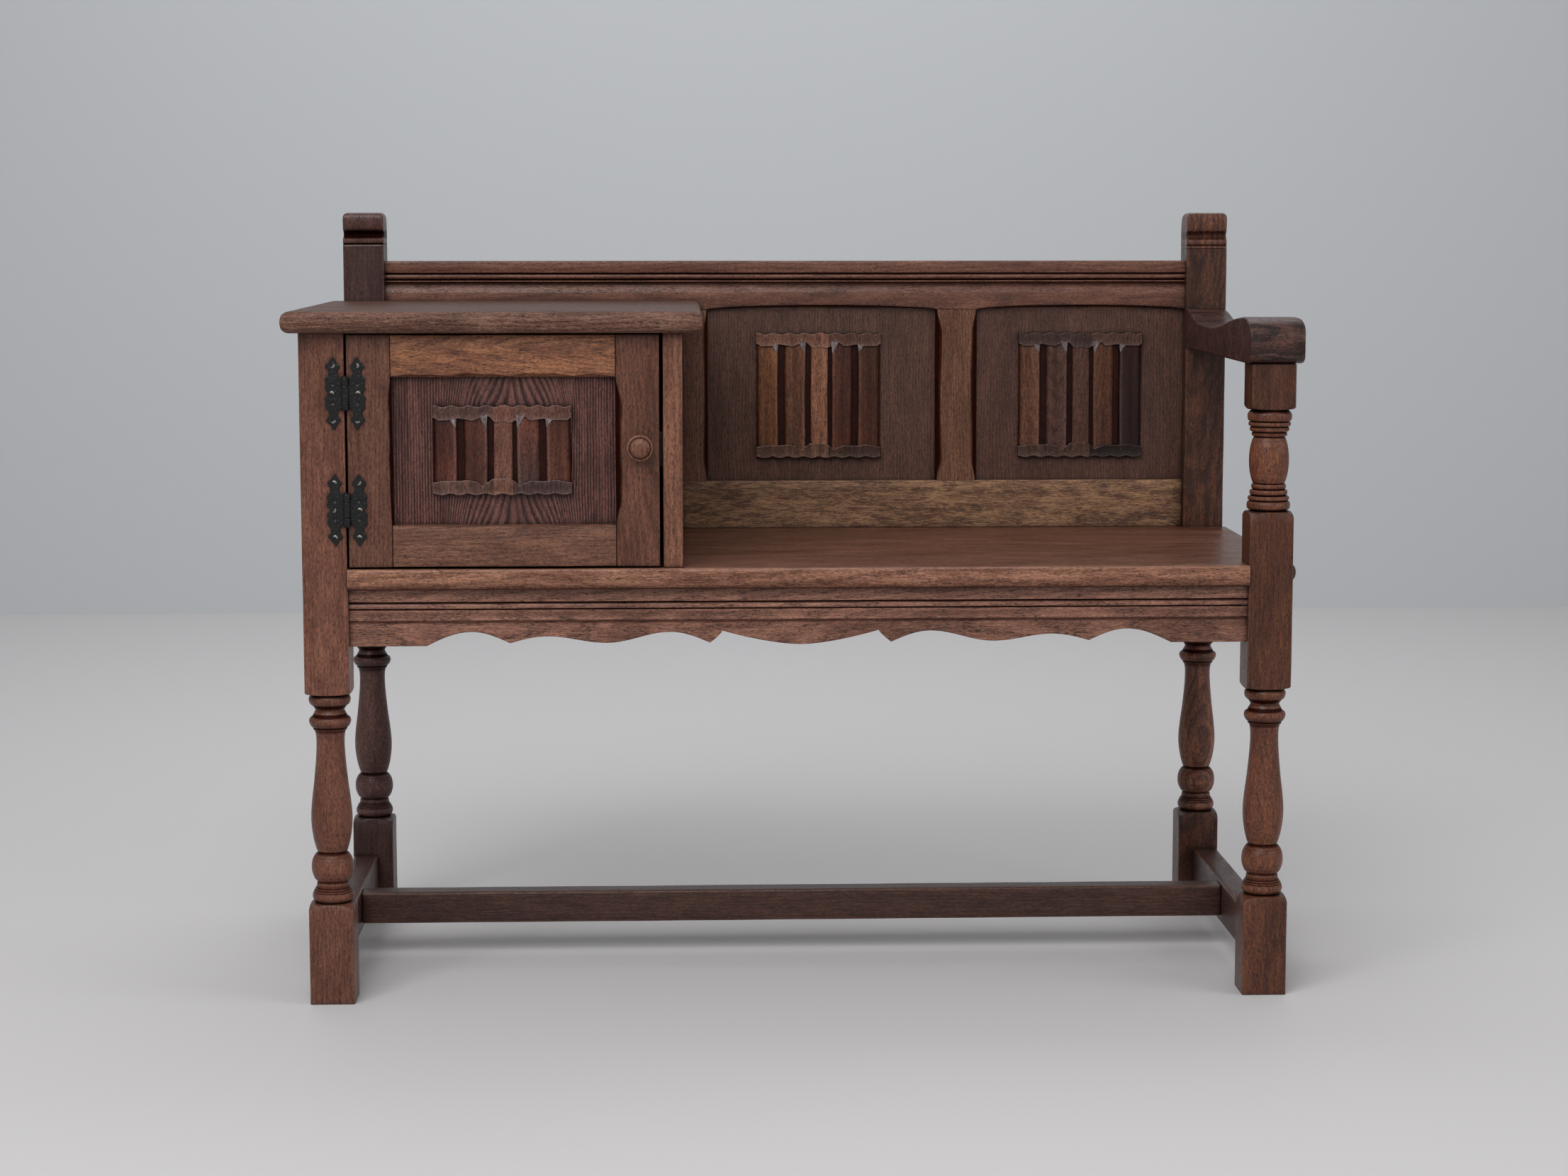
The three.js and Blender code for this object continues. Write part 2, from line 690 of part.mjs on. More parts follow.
function sideStretcher(direction) {
  const outer = direction * (benchWidth / 2 - sideStretcherInset);
  const inner = outer - direction * sideStretcherThickness;
  const section = chamferedSection(Math.min(inner, outer), Math.max(inner, outer),
    sideStretcherBottom, sideStretcherHeight, stretcherChamfer);
  return alongY(section, postSide, backPostFront);
}
const oakStretcher = 0x3d2a26;
addPiece('side_stretcher_left', sideStretcher(-1), oakStretcher);
addPiece('side_stretcher_right', sideStretcher(1), oakStretcher);

const midReach = benchWidth / 2 - sideStretcherInset - sideStretcherThickness;
const midFront = (benchDepth - midStretcherThickness) / 2;
const midSection = chamferedSection(midFront, midFront + midStretcherThickness,
  midStretcherBottom, midStretcherHeight, midStretcherChamfer);
addPiece('mid_stretcher', alongX(midSection, -midReach, midReach), oakStretcher);

// Panelled back: two rails, two muntins and three panels, set behind the posts' front faces

function topRailSection() {
  const bead = topRailBead / 2;
  const grooveTop = topRailTop - topRailFlat;
  const beadTop = grooveTop - topRailGroove;
  const beadBottom = beadTop - topRailBead;
  const coveTop = beadBottom - topRailGroove * half;
  const coveBottom = coveTop - topRailCove;
  const deep = railFront + topRailGrooveDepth;
  return [
    [railBack, topRailBottom],
    [railBack, topRailTop],
    [railFront + topRailGroove * half, topRailTop],
    [railFront, topRailTop - topRailGroove * half],
    [railFront, grooveTop],
    [deep, grooveTop],
    [deep, beadTop],
    ...arc([railFront + bead, beadTop - bead], bead, 110, 250),
    [deep, beadBottom],
    [deep, coveTop],
    [deep, coveTop - topRailCove * half / 2],
    [railFront + topRailGrooveDepth * half, coveBottom + topRailCove * half / 2],
    [railFront, coveBottom],
    [railFront, topRailBottom],
  ];
}

// A shallow arch in the rail's front edge over each panel
function archCut(left, right) {
  const points = [];
  const steps = 2 * arcSteps;
  for (let i = 0; i <= steps; i += 1) {
    const t = i / steps;
    const rise = topRailArch * Math.sqrt(Math.sin(Math.PI * t));
    points.push([left + (right - left) * t, topRailBottom + rise]);
  }
  points.push([right, topRailBottom - overrun], [left, topRailBottom - overrun]);
  return alongY(points, railFront - overrun, panelFront);
}

const topRail = alongX(topRailSection(), backInnerLeft, backInnerRight)
  .subtract(archCut(leftMuntinRight, centreMuntinLeft))
  .subtract(archCut(centreMuntinRight, backInnerRight));
addPiece('back_top_rail', topRail, 0x6a4638);
addPiece('back_lower_rail',
  block([backInnerLeft, backInnerRight], [railFront, railBack], [seatUnder, lowerRailTop]),
  0x6a4a35);

function muntin(left) {
  const right = left + muntinWidth;
  const plan = [
    [left, railBack], [left, railFront + muntinBevelDepth], [left + muntinBevelWidth, railFront],
    [right - muntinBevelWidth, railFront], [right, railFront + muntinBevelDepth],
    [right, railBack],
  ];
  return alongZ(plan, lowerRailTop, topRailBottom);
}
addPiece('back_muntin_left', muntin(leftMuntinLeft), 0x55392f);
addPiece('back_muntin_centre', muntin(centreMuntinLeft), 0x55392f);

const panelSpans = {
  left: [backInnerLeft, leftMuntinLeft],
  middle: [leftMuntinRight, centreMuntinLeft],
  right: [centreMuntinRight, backInnerRight],
};
const panelDepth = [panelFront, panelFront + panelThickness];
for (const [place, span] of Object.entries(panelSpans)) {
  addPiece(`back_panel_${place}`, block(span, panelDepth, [lowerRailTop, topRailBottom]), 0x4a3532);
}

// Linenfold: a plate with five upright folds between two bands with waved edges

function waveEdge(left, width, height, amplitude) {
  const points = [];
  const steps = 4 * carvingWaves;
  for (let i = 0; i <= steps; i += 1) {
    const phase = (2 * Math.PI * carvingWaves * i) / steps;
    points.push([left + (width * i) / steps, height + amplitude * Math.sin(phase)]);
  }
  return points;
}

function carvingBand(left, width, bottom, top, amplitude, front, back) {
  const upper = waveEdge(left, width, top, amplitude);
  const lower = waveEdge(left, width, bottom, amplitude).reverse();
  return alongY([...upper, ...lower], front, back);
}

function linenfold(centreX, centreZ, width, height, back) {
  const left = centreX - width / 2;
  const bottom = centreZ - height / 2;
  const top = centreZ + height / 2;
  const inside = [bottom + carvingBandHeight, top - carvingBandHeight];
  const plateFront = back - carvingPlate;
  let carving = block([left, left + width], [plateFront, back],
    [bottom + carvingWave, top - carvingWave]);
  const bandFront = back - carvingBandRelief;
  const bands = [
    [bottom + carvingWave, inside[0]],
    [inside[1], top - carvingWave],
  ];
  for (const [low, high] of bands) {
    carving = carving.add(
      carvingBand(left, width, low, high, carvingWave, bandFront, back));
  }
  for (const [from, to, share] of foldShares) {
    const relief = carvingPlate + (carvingRelief - carvingPlate) * share;
    const crown = foldCrownShares.map(([along, out]) => (
      [left + width * (from + (to - from) * along), back - relief * out]));
    const plan = [[left + width * from, back], ...crown, [left + width * to, back]];
    carving = carving.add(alongZ(plan, inside[0] - carvingWave, inside[1] + carvingWave));
  }
  return carving;
}

const backPanelMiddleZ = (lowerRailTop + topRailBottom) / 2;
const backCarvingWidth = (panelSpans.middle[1] - panelSpans.middle[0]) * backCarvingWidthShare;
const backCarvingHeight = (topRailBottom - lowerRailTop) * backCarvingHeightShare;
for (const place of ['middle', 'right']) {
  const centre = (panelSpans[place][0] + panelSpans[place][1]) / 2 + backCarvingShifts[place];
  addPiece(`back_carving_${place}`,
    linenfold(centre, backPanelMiddleZ, backCarvingWidth, backCarvingHeight, panelFront), 0x6b4630);
}

// Writing top: a slab with a rounded nose on its front and both ends, which fits between
// the back posts' front faces and the rail
function deskTop() {
  const left = postLeft - deskLeftOverhang;
  const right = partitionRight + deskRightOverhang;
  const front = -deskFrontOverhang;
  const plan = [
    [left, front], [right, front], [right, railFront], [backInnerLeft, railFront],
    [backInnerLeft, backPostFront], [left, backPostFront],
  ];
  const nose = (tip, inward) => {
    const points = [];
    const steps = 2 * arcSteps;
    for (let i = 0; i <= steps; i += 1) {
      const angle = Math.PI * (half - i / steps);
      points.push([
        tip + inward * deskNose * (1 - Math.cos(angle)),
        deskUnder + deskThickness * half * (1 + Math.sin(angle)),
      ]);
    }
    return points;
  };
  const depthSection = [...nose(front, 1), [railFront, deskUnder], [railFront, deskHeight]];
  const widthSection = [...nose(left, 1), ...nose(right, -1).reverse()];
  return alongZ(plan, deskUnder, deskHeight)
    .intersect(alongX(depthSection, left, right))
    .intersect(alongY(widthSection, front, railFront));
}
addPiece('desk_top', deskTop(), 0x7d5b50, 0.4);

// Cabinet ends: a board between the left posts, and the partition that stands on the seat
const cabinetLeft = postLeft + cabinetSideInset;
addPiece('cabinet_side_left',
  block([cabinetLeft, cabinetLeft + cabinetSideThickness], betweenPosts, [seatHeight, deskUnder]),
  oakPost);
addPiece('cabinet_partition',
  block([partitionLeft, partitionRight], [0, railFront], [seatHeight, deskUnder]), 0x7a5244);

// Door: stiles and rails round a sunk panel, with a bevel worked round the opening

function doorBevel() {
  const { left, right, bottom, top } = doorOpening;
  const corners = [];
  const rings = [
    [-overrun, doorBevelWidth * (1 + overrun / doorBevelDepth)],
    [doorBevelDepth, 0],
  ];
  for (const [depth, grown] of rings) {
    for (const x of [left - grown, right + grown]) {
      for (const z of [bottom - grown, top + grown]) corners.push(new THREE.Vector3(x, depth, z));
    }
  }
  return solidFrom(new ConvexGeometry(corners));
}

const doorDepth = [0, doorThickness];
const bevel = doorBevel();
const oakDoor = 0x6f4a3c;
addPiece('door_stile_hinge',
  drilled(block([doorLeft, doorOpening.left], doorDepth, [doorBottom, doorTop]).subtract(bevel), 1),
  oakDoor);
addPiece('door_stile_latch',
  block([doorOpening.right, doorRight], doorDepth, [doorBottom, doorTop]).subtract(bevel), oakDoor);
const doorRailSpan = [doorOpening.left, doorOpening.right];
addPiece('door_rail_top',
  block(doorRailSpan, doorDepth, [doorOpening.top, doorTop]).subtract(bevel), 0x8a5a3e);
addPiece('door_rail_bottom',
  block(doorRailSpan, doorDepth, [doorBottom, doorOpening.bottom]).subtract(bevel), oakDoor);
addPiece('door_panel',
  block(doorRailSpan, [doorPanelSetback, doorPanelSetback + doorPanelThickness],
    [doorOpening.bottom, doorOpening.top]), 0x5c4038);
const doorMiddleX = (doorOpening.left + doorOpening.right) / 2;
const doorMiddleZ = (doorOpening.bottom + doorOpening.top) / 2;
const doorCarvingWidth = (doorOpening.right - doorOpening.left) * doorCarvingWidthShare;
const doorCarvingHeight = (doorOpening.top - doorOpening.bottom) * doorCarvingHeightShare;
addPiece('door_carving',
  linenfold(doorMiddleX + doorCarvingShift, doorMiddleZ + doorCarvingRise, doorCarvingWidth,
    doorCarvingHeight, doorPanelSetback),
  0x75472f);
const knobX = doorRight - knobInset;
addPiece('door_knob',
  lyingRod(scaledShares(knobShares, 0, knobLength, knobRadius), knobX, doorMiddleZ + knobRise,
    turnedSides),
  oakDoor);

// Catch: a small magnet block on the partition, and the plate on the door that meets it
const strikeBack = doorThickness + strikeThickness;
addPiece('door_catch',
  block([partitionLeft - catchWidth, partitionLeft],
    [strikeBack + catchGap, strikeBack + catchGap + catchDepth],
    [doorMiddleZ - catchHeight / 2, doorMiddleZ + catchHeight / 2]), 0x2a2a2a, 0.6);
addPiece('door_strike',
  block([doorRight - strikeWidth, doorRight], [doorThickness, strikeBack],
    [doorMiddleZ - strikeHeight / 2, doorMiddleZ + strikeHeight / 2]), zinc, 0.35, 0.9);

// Armrest: dips behind the front post, rolls over its front, and widens towards the front
function armrest() {
  const front = -armFrontOverhang;
  const run = backPostFront - front;
  const side = armProfileShares.map(([along, up]) => (
    [backPostFront - along * run, armUnder + up * armThickness]));
  side.push([backPostFront, armUnder]);
  const plan = [
    [innerRight - armInnerOverhang, front], [postRight + armOuterOverhang, front],
    [postRight + armOuterOverhang, postSide * half], [backOuterRight, backPostFront],
    [backInnerRight, backPostFront], [innerRight - armInnerOverhang, postSide * half],
  ];
  return alongX(side, innerRight - armInnerOverhang, postRight + armOuterOverhang)
    .intersect(alongZ(plan, armUnder, armUnder + armThickness));
}
addPiece('armrest', armrest(), 0x5f4238);

// Round button on the outer face of the right front post
function postButton() {
  const points = scaledShares(buttonShares, 0, buttonHeight, buttonRadius)
    .map(([out, radius]) => new THREE.Vector2(radius, out));
  const geometry = new THREE.LatheGeometry([new THREE.Vector2(0, 0), ...points], turnedSides);
  geometry.rotateZ(-Math.PI / 2);
  return solidFrom(geometry.translate(postRight, postSide / 2, seatHeight - buttonBelowSeat));
}
addPiece('post_button', postButton(), 0x2b201d);

// The origin goes under the middle of the bounding box
const boxLeft = postLeft - deskLeftOverhang;
const boxRight = postRight + Math.max(armOuterOverhang, buttonHeight);
const boxFront = -Math.max(deskFrontOverhang, knobLength, armFrontOverhang);
bench.position.set(-(boxLeft + boxRight) / 2, -(boxFront + benchDepth) / 2, 0);

export default bench;
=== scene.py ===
# Telephone bench in dark stained oak: a seat with a panelled back, one armrest and a small
# cabinet with a hinged door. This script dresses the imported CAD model, which it loads as a
# fixed frame in metres, and follows the bench as it is put together, piece by piece. Shapes
# are worked out in millimetres and turned to metres when their mesh is made.

import json
import math

import bmesh
import bpy
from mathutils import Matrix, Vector, noise

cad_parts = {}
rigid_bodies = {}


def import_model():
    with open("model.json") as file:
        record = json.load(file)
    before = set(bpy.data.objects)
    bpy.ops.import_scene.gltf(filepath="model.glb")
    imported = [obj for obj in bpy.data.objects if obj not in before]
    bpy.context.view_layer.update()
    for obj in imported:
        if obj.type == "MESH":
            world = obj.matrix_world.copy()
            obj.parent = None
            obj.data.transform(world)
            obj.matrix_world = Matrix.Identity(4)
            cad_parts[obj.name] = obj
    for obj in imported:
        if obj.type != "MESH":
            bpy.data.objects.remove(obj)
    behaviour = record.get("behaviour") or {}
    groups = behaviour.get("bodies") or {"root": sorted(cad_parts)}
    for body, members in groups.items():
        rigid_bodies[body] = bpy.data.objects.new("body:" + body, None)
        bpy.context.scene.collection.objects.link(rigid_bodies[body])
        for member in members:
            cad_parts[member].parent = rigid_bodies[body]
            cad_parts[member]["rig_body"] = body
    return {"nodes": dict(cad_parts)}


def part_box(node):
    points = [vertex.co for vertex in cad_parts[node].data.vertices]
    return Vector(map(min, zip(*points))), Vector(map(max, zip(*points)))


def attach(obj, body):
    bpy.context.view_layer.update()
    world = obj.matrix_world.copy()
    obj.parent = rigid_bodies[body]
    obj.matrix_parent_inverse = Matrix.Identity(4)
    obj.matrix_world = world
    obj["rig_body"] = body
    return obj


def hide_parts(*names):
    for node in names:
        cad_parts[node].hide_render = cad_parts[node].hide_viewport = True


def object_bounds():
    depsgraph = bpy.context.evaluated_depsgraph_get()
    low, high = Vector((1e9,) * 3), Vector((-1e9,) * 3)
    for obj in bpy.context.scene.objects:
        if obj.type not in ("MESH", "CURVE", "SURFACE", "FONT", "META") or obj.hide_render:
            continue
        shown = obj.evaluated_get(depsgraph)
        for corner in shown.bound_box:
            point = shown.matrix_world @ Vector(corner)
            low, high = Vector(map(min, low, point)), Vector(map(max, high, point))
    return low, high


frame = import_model()
cad_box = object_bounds()


# Front posts
# Each is one length of oak: square where the rails are tenoned in, and turned on a lathe
# between. The lathe's tool leaves a dome at each block's end, which arches on its faces.

POST_EASING = 1.6
DOME_NECK = 18
DOME_REACH = 16
FRONT_FOOT_TOP = 105
FRONT_BLOCK_BOTTOM = 324
SEAT_BLOCK_TOP = 510
ARM_BLOCK_BOTTOM = 615
FOOT_DOME = 12
BLOCK_DOME = 6
TURNED_SIDES = 64


def colour(text):
    """An sRGB colour written as hex, as linear red, green, blue and alpha."""
    shares = [int(text[i:i + 2], 16) / 255 for i in (1, 3, 5)]
    linear = [s / 12.92 if s <= 0.04045 else ((s + 0.055) / 1.055) ** 2.4 for s in shares]
    return (*linear, 1.0)


def add_node(tree, kind, inputs=None, **settings):
    """Adds a node with its settings. An input takes a value, or another node's output."""
    node = tree.nodes.new(kind)
    for name, value in settings.items():
        setattr(node, name, value)
    for name, value in (inputs or {}).items():
        if isinstance(value, bpy.types.NodeSocket):
            tree.links.new(value, node.inputs[name])
        else:
            node.inputs[name].default_value = value
    return node


def new_material(name):
    """A material whose node tree is still empty, and the tree."""
    material = bpy.data.materials.new(name)
    material.use_nodes = True
    material.node_tree.nodes.clear()
    return material, material.node_tree


# Stained and lacquered oak. The eye sees year rings as soft bands, the open pores of the
# early wood as short dark strokes along the grain, pale ray flecks on some boards, painted
# shade in the corners, and a satin lacquer that shows the pores as fine scratches.
GRAIN_TURNS = {"x": (0, -math.pi / 2, 0), "y": (math.pi / 2, 0, 0), "z": (0, 0, 0)}
# Sizes of its marks in mm, across and along the grain. Pores are drawn wider than real
# ones, so that they show.
PORES, FIBRES, CLOUDS = (0.65, 5), (1.0, 16), (34, 120)
BLOTCHES, PATCHES = (1.3, 3.4), (10, 60)
RAYS, RAY_GROUPS = (0.8, 10), (5, 22)
RING_SWAY = 45
RING_BEND = 18
# The tone of stain with painted shade, that of open pores, and the near black painted shade in
# corners, with how far in m that shade reaches
STAIN_AND_SHADE_TONE, PORE_TONE, CORNER_SHADE_TONE = "#6a4038", "#120907", "#120807"
CORNER_SHADE_REACH = 0.007


def stained_oak(name, grain, deep, middle, pale, heart, ring=3.6, tilt=0.02, bands=0.3,
                pores=0.75, fleck=0.0, rough=0.34, gloss=0.3, relief=0.12, mottle=0.4,
                wear_and_highlight="#8e6654", corners=0.88, figure=210, toned=False, counted_years=False):
    """Oak whose grain runs along one axis. heart is a point on the tree's middle line, in
    mm, tilt is how far that line leans towards the face, and figure how many mm along the
    grain the rings take to wander."""
    material, tree = new_material(name)
    place = add_node(tree, "ShaderNodeTexCoord").outputs["Object"]
    centred = add_node(tree, "ShaderNodeMapping", {
        "Vector": place, "Location": [-h for h in heart], "Scale": (1000, 1000, 1000)})
    turned = add_node(tree, "ShaderNodeMapping", {
        "Vector": centred.outputs[0], "Rotation": GRAIN_TURNS[grain]}).outputs[0]

    def marks(size, detail=3, **more):
        """Noise whose marks have a size in mm, across and along the grain."""
        across, along = size
        at = add_node(tree, "ShaderNodeVectorMath", {
            0: turned, 1: (1 / across, 1 / across, 1 / along)}, operation="MULTIPLY").outputs[0]
        return add_node(tree, "ShaderNodeTexNoise", {
            "Vector": at, "Scale": 1, "Detail": detail, **more}).outputs

    def marked(label, output="Fac"):
        """What the mesh's own points say."""
        return add_node(tree, "ShaderNodeAttribute", attribute_name=label).outputs[output]

    def ranged(value, low, high, to_low=0.0, to_high=1.0):
        """The value with low to high spread over another range, and held at its ends."""
        return add_node(tree, "ShaderNodeMapRange", {
            "Value": value, 1: low, 2: high, 3: to_low, 4: to_high},
            interpolation_type="SMOOTHSTEP").outputs[0]

    def counted(operation, first, second):
        return add_node(tree, "ShaderNodeMath", {0: first, 1: second},
                        operation=operation).outputs[0]

    def times(first, second):
        return counted("MULTIPLY", first, second)

    def mixed(factor, under, over, blend="MIX"):
        return add_node(tree, "ShaderNodeMix", {0: factor, 6: under, 7: over},
                        data_type="RGBA", blend_type=blend).outputs[2]

    # Year rings: counted in the mesh, or about the heart, pushed out of round by slow noise
    if counted_years:
        year = marked("year")
    else:
        bent = add_node(tree, "ShaderNodeVectorMath", {
            0: marks((RING_SWAY, figure))["Color"], 1: (RING_BEND, RING_BEND, 0), 2: turned},
            operation="MULTIPLY_ADD").outputs[0]
        part = add_node(tree, "ShaderNodeSeparateXYZ", {0: bent}).outputs
        flat = add_node(tree, "ShaderNodeCombineXYZ", {
            "X": part["X"], "Y": counted("ADD", part["Y"], times(part["Z"], tilt))}).outputs[0]
        year = add_node(tree, "ShaderNodeVectorMath", {0: flat}, operation="LENGTH").outputs[1]
        year = counted("DIVIDE", year, ring)
    year = counted("FRACT", year, 0.0)
    early = counted("SUBTRACT", ranged(year, 0.0, 0.12), ranged(year, 0.28, 0.75))
    fibres = marks(FIBRES, 4, Roughness=0.75)[0]
    cloud = marks(CLOUDS, 4, Roughness=0.6)[0]
    blotches = marks(BLOTCHES, Roughness=0.8)[0]
    open_pores = times(ranged(marks(PORES, Roughness=0.7)[0], 0.5, 0.6),
                       ranged(early, 0.0, 1.0, 0.5, 1.0))

    # Colour: stain takes deepest in the early wood, and is patchy over the board
    layers = [
        (ranged(cloud, 0.32, 0.6, 0.35, 1.0), middle),
        (times(ranged(fibres, 0.46, 0.6), ranged(cloud, 0.3, 0.7, 0.4, 1)), pale),
        (times(early, bands), deep),
        (ranged(marks(PATCHES)[0], 0.48, 0.68, 0.0, mottle), pale),
        (ranged(blotches, 0.52, 0.36, 0.0, 1.7 * mottle), deep),
        (ranged(blotches, 0.56, 0.7, 0.0, 1.4 * mottle), pale),
    ]
    if fleck > 0:
        rays = counted("ADD", marks(RAYS, Distortion=0.4)[0],
                       times(marks(RAY_GROUPS, 2)[0], 0.5))
        layers += [(times(ranged(rays, 0.76, 0.87), fleck), pale),
                   (times(ranged(rays, 0.73, 0.6), fleck), deep)]
    body = colour(deep)
    for factor, tone in layers:
        body = mixed(factor, body, colour(tone))
    if toned:
        body = mixed(1.0, body, marked("tone", "Color"), "MULTIPLY")

    # Then stain and painted shade in the hollows, wear and painted highlights on the edges,
    # open pores, and painted shade in the corners
    # The mesh's fourth number: stain with painted shade in hollows, under parts and on shaded
    # tops, and below 0 wear with painted highlights, which mix in the pale tone
    hollow = marked("hollow")
    body = mixed(hollow, body, colour(STAIN_AND_SHADE_TONE), "MULTIPLY")
    # Painted shade: ambient occlusion darkens the corners, as strongly as corners asks
    corner = add_node(tree, "ShaderNodeAmbientOcclusion", {"Distance": CORNER_SHADE_REACH},
                      samples=4).outputs["AO"]
    for factor, tone in (
            (times(ranged(hollow, 0.0, -1.0), ranged(blotches, 0.3, 0.6, 0.2, 1)), wear_and_highlight),
            (times(open_pores, pores), PORE_TONE),
            (ranged(corner, 0.3, 0.85, corners, 0.0), CORNER_SHADE_TONE)):
        body = mixed(factor, body, colour(tone))

    # The lacquer is duller over open pores, which it doesn't fill
    shine = counted("ADD", ranged(cloud, 0.3, 0.7, rough - 0.06, rough + 0.06),
                    times(open_pores, 0.2))
    height = counted("SUBTRACT", times(fibres, 0.35), open_pores)
    height = counted("SUBTRACT", height, times(early, 0.35))
    bump = add_node(tree, "ShaderNodeBump", {
        "Height": height, "Strength": 0.55, "Distance": relief / 1000}).outputs[0]
    shader = add_node(tree, "ShaderNodeBsdfPrincipled", {
        "Base Color": body, "Roughness": shine, "Normal": bump, "IOR": 1.5,
        "Specular IOR Level": ranged(hollow, 0.0, 1.0, gloss, 0.1 * gloss)})
    add_node(tree, "ShaderNodeOutputMaterial", {"Surface": shader.outputs[0]})
    return material


def span(node):
    """Where a CAD node lies: its lowest and highest x, y and z, in millimetres."""
    low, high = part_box(node)
    return [(low[i] * 1000, high[i] * 1000) for i in range(3)]


def middle(pair):
    return (pair[0] + pair[1]) / 2


def evenly(start, end, count):
    """Places from start to end in so many equal steps, with both ends among them."""
    return [start + (end - start) * i / count for i in range(count + 1)]


def loft(rings):
    """A closed skin over rings of points, with the same count in each, capped at its ends."""
    count = len(rings[0])
    points = [point for ring in rings for point in ring]
    faces = [list(range(count))]
    for i in range(0, count * (len(rings) - 1), count):
        for j in range(count):
            k = (j + 1) % count
            faces.append([i + j, i + k, i + k + count, i + j + count])
    faces.append([len(points) - 1 - j for j in range(count)])
    return points, faces


def square_ring(x, y, easing, steps):
    """Points round a rectangle with rounded corners, always in the same order."""
    corners = [(x[1] - easing, y[0] + easing, -90), (x[1] - easing, y[1] - easing, 0),
               (x[0] + easing, y[1] - easing, 90), (x[0] + easing, y[0] + easing, 180)]
    arcs = []
    for corner_x, corner_y, start in corners:
        turns = [math.radians(start + 30 * i) for i in range(4)]
        arcs.append([(corner_x + easing * math.cos(t), corner_y + easing * math.sin(t))
                     for t in turns])
    ring = []
    for i, arc in enumerate(arcs):
        (from_x, from_y), (to_x, to_y) = arc[-1], arcs[(i + 1) % 4][0]
        ring += arc
        ring += [*zip(evenly(from_x, to_x, steps), evenly(from_y, to_y, steps))][1:-1]
    return ring


def dome_cut(distance, drop):
    """How far the lathe's tool has cut a block's end back, so far from its axis."""
    share = min(max((distance - DOME_NECK) / DOME_REACH, 0), 0.98)
    return drop * (1 - math.sqrt(1 - share * share))


END_SHARES = (0.6, 0.4, 0.22, 0.1, 0.03)
SOFT_EDGE = 0.7
# How far the stain is rubbed off along an edge, as a negative amount of the darkening by
# stain and painted shade
EDGE_WEAR = -0.35


def post_block(x, y, bottom, top, bottom_drop, top_drop):
    """A square block of a post, whose ends are domed by the lathe or flat."""
    centre = Vector((middle(x), middle(y)))
    ring = [Vector(point) - centre for point in square_ring(x, y, POST_EASING, 12)]
    side = len(ring) // 4

    def end_row(share, level, drop, direction):
        row = []
        for point in ring:
            inner = point * (1 - share)
            cut = dome_cut(inner.length, drop)
            row.append((*(centre + inner), level - direction * cut))
        return row

    rings = [end_row(share, bottom, bottom_drop, -1) for share in END_SHARES]
    steps = max(4, round((top - bottom) / 12))
    for i in range(steps + 1):
        row = []
        for j, point in enumerate(ring):
            low = bottom + dome_cut(point.length, bottom_drop) + SOFT_EDGE
            high = top - dome_cut(point.length, top_drop) - SOFT_EDGE
            rub = EDGE_WEAR if j % side in (1, 2) else 0
            row.append((*(centre + point), low + (high - low) * i / steps, rub))
        rings.append(row)
    rings += [end_row(share, top, top_drop, 1) for share in reversed(END_SHARES)]
    return loft(rings)


def new_group(name, inputs, output):
    """A node group for a modifier with named inputs and one output, and its inputs' node."""
    group = bpy.data.node_groups.new(name, "GeometryNodeTree")
    group.is_modifier = True
    for label, kind, value in inputs:
        socket = group.interface.new_socket(label, in_out="INPUT",
                                            socket_type="NodeSocket" + kind)
        if value is not None:
            socket.default_value = value
    group.interface.new_socket(output, in_out="OUTPUT", socket_type="NodeSocketGeometry")
    return group, add_node(group, "NodeGroupInput").outputs


def finish_group(group, given, skin):
    """Ends a node group: its copies are made real, and it takes the given material."""
    skin = add_node(group, "GeometryNodeRealizeInstances", {"Geometry": skin}).outputs[0]
    skin = add_node(group, "GeometryNodeSetMaterial", {
        "Geometry": skin, "Material": given["Material"]}).outputs[0]
    add_node(group, "NodeGroupOutput", {0: skin})


# A turning is a profile swept round its axis, so its skin is made by nodes. The points
# given have the radius in x and the height in z, as shares of the sizes that are inputs.
turning, given = new_group("turned stretch", (
    ("Profile", "Geometry", None), ("Bottom", "Float", 0.1), ("Length", "Float", 0.2),
    ("Radius", "Float", 0.023), ("Sides", "Int", TURNED_SIDES),
    ("Material", "Material", None)), "Turning")
shares = add_node(turning, "ShaderNodeSeparateXYZ", {
    0: add_node(turning, "GeometryNodeInputPosition").outputs[0]}).outputs
line = add_node(turning, "GeometryNodeMeshToCurve", {"Mesh": given["Profile"]}).outputs[0]
line = add_node(turning, "GeometryNodeCurveSplineType", {"Curve": line},
                spline_type="CATMULL_ROM").outputs[0]
line = add_node(turning, "GeometryNodeSetSplineResolution", {
    "Geometry": line, "Resolution": 3}).outputs[0]
radius = add_node(turning, "ShaderNodeMath", {
    0: shares["X"], 1: given["Radius"]}, operation="MULTIPLY").outputs[0]
line = add_node(turning, "GeometryNodeSetCurveRadius", {
    "Curve": line, "Radius": radius}).outputs[0]
rise = add_node(turning, "ShaderNodeMath", {
    0: shares["Z"], 1: given["Length"], 2: given["Bottom"]},
    operation="MULTIPLY_ADD").outputs[0]
line = add_node(turning, "GeometryNodeSetPosition", {
    "Geometry": line,
    "Position": add_node(turning, "ShaderNodeCombineXYZ", {"Z": rise}).outputs[0]}).outputs[0]
circle = add_node(turning, "GeometryNodeCurvePrimitiveCircle", {
    "Resolution": given["Sides"], "Radius": 1.0}).outputs["Curve"]
finish_group(turning, given, add_node(turning, "GeometryNodeCurveToMesh", {
    "Curve": line, "Profile Curve": circle, "Fill Caps": True,
    "Scale": add_node(turning, "GeometryNodeInputRadius").outputs[0]}).outputs[0])


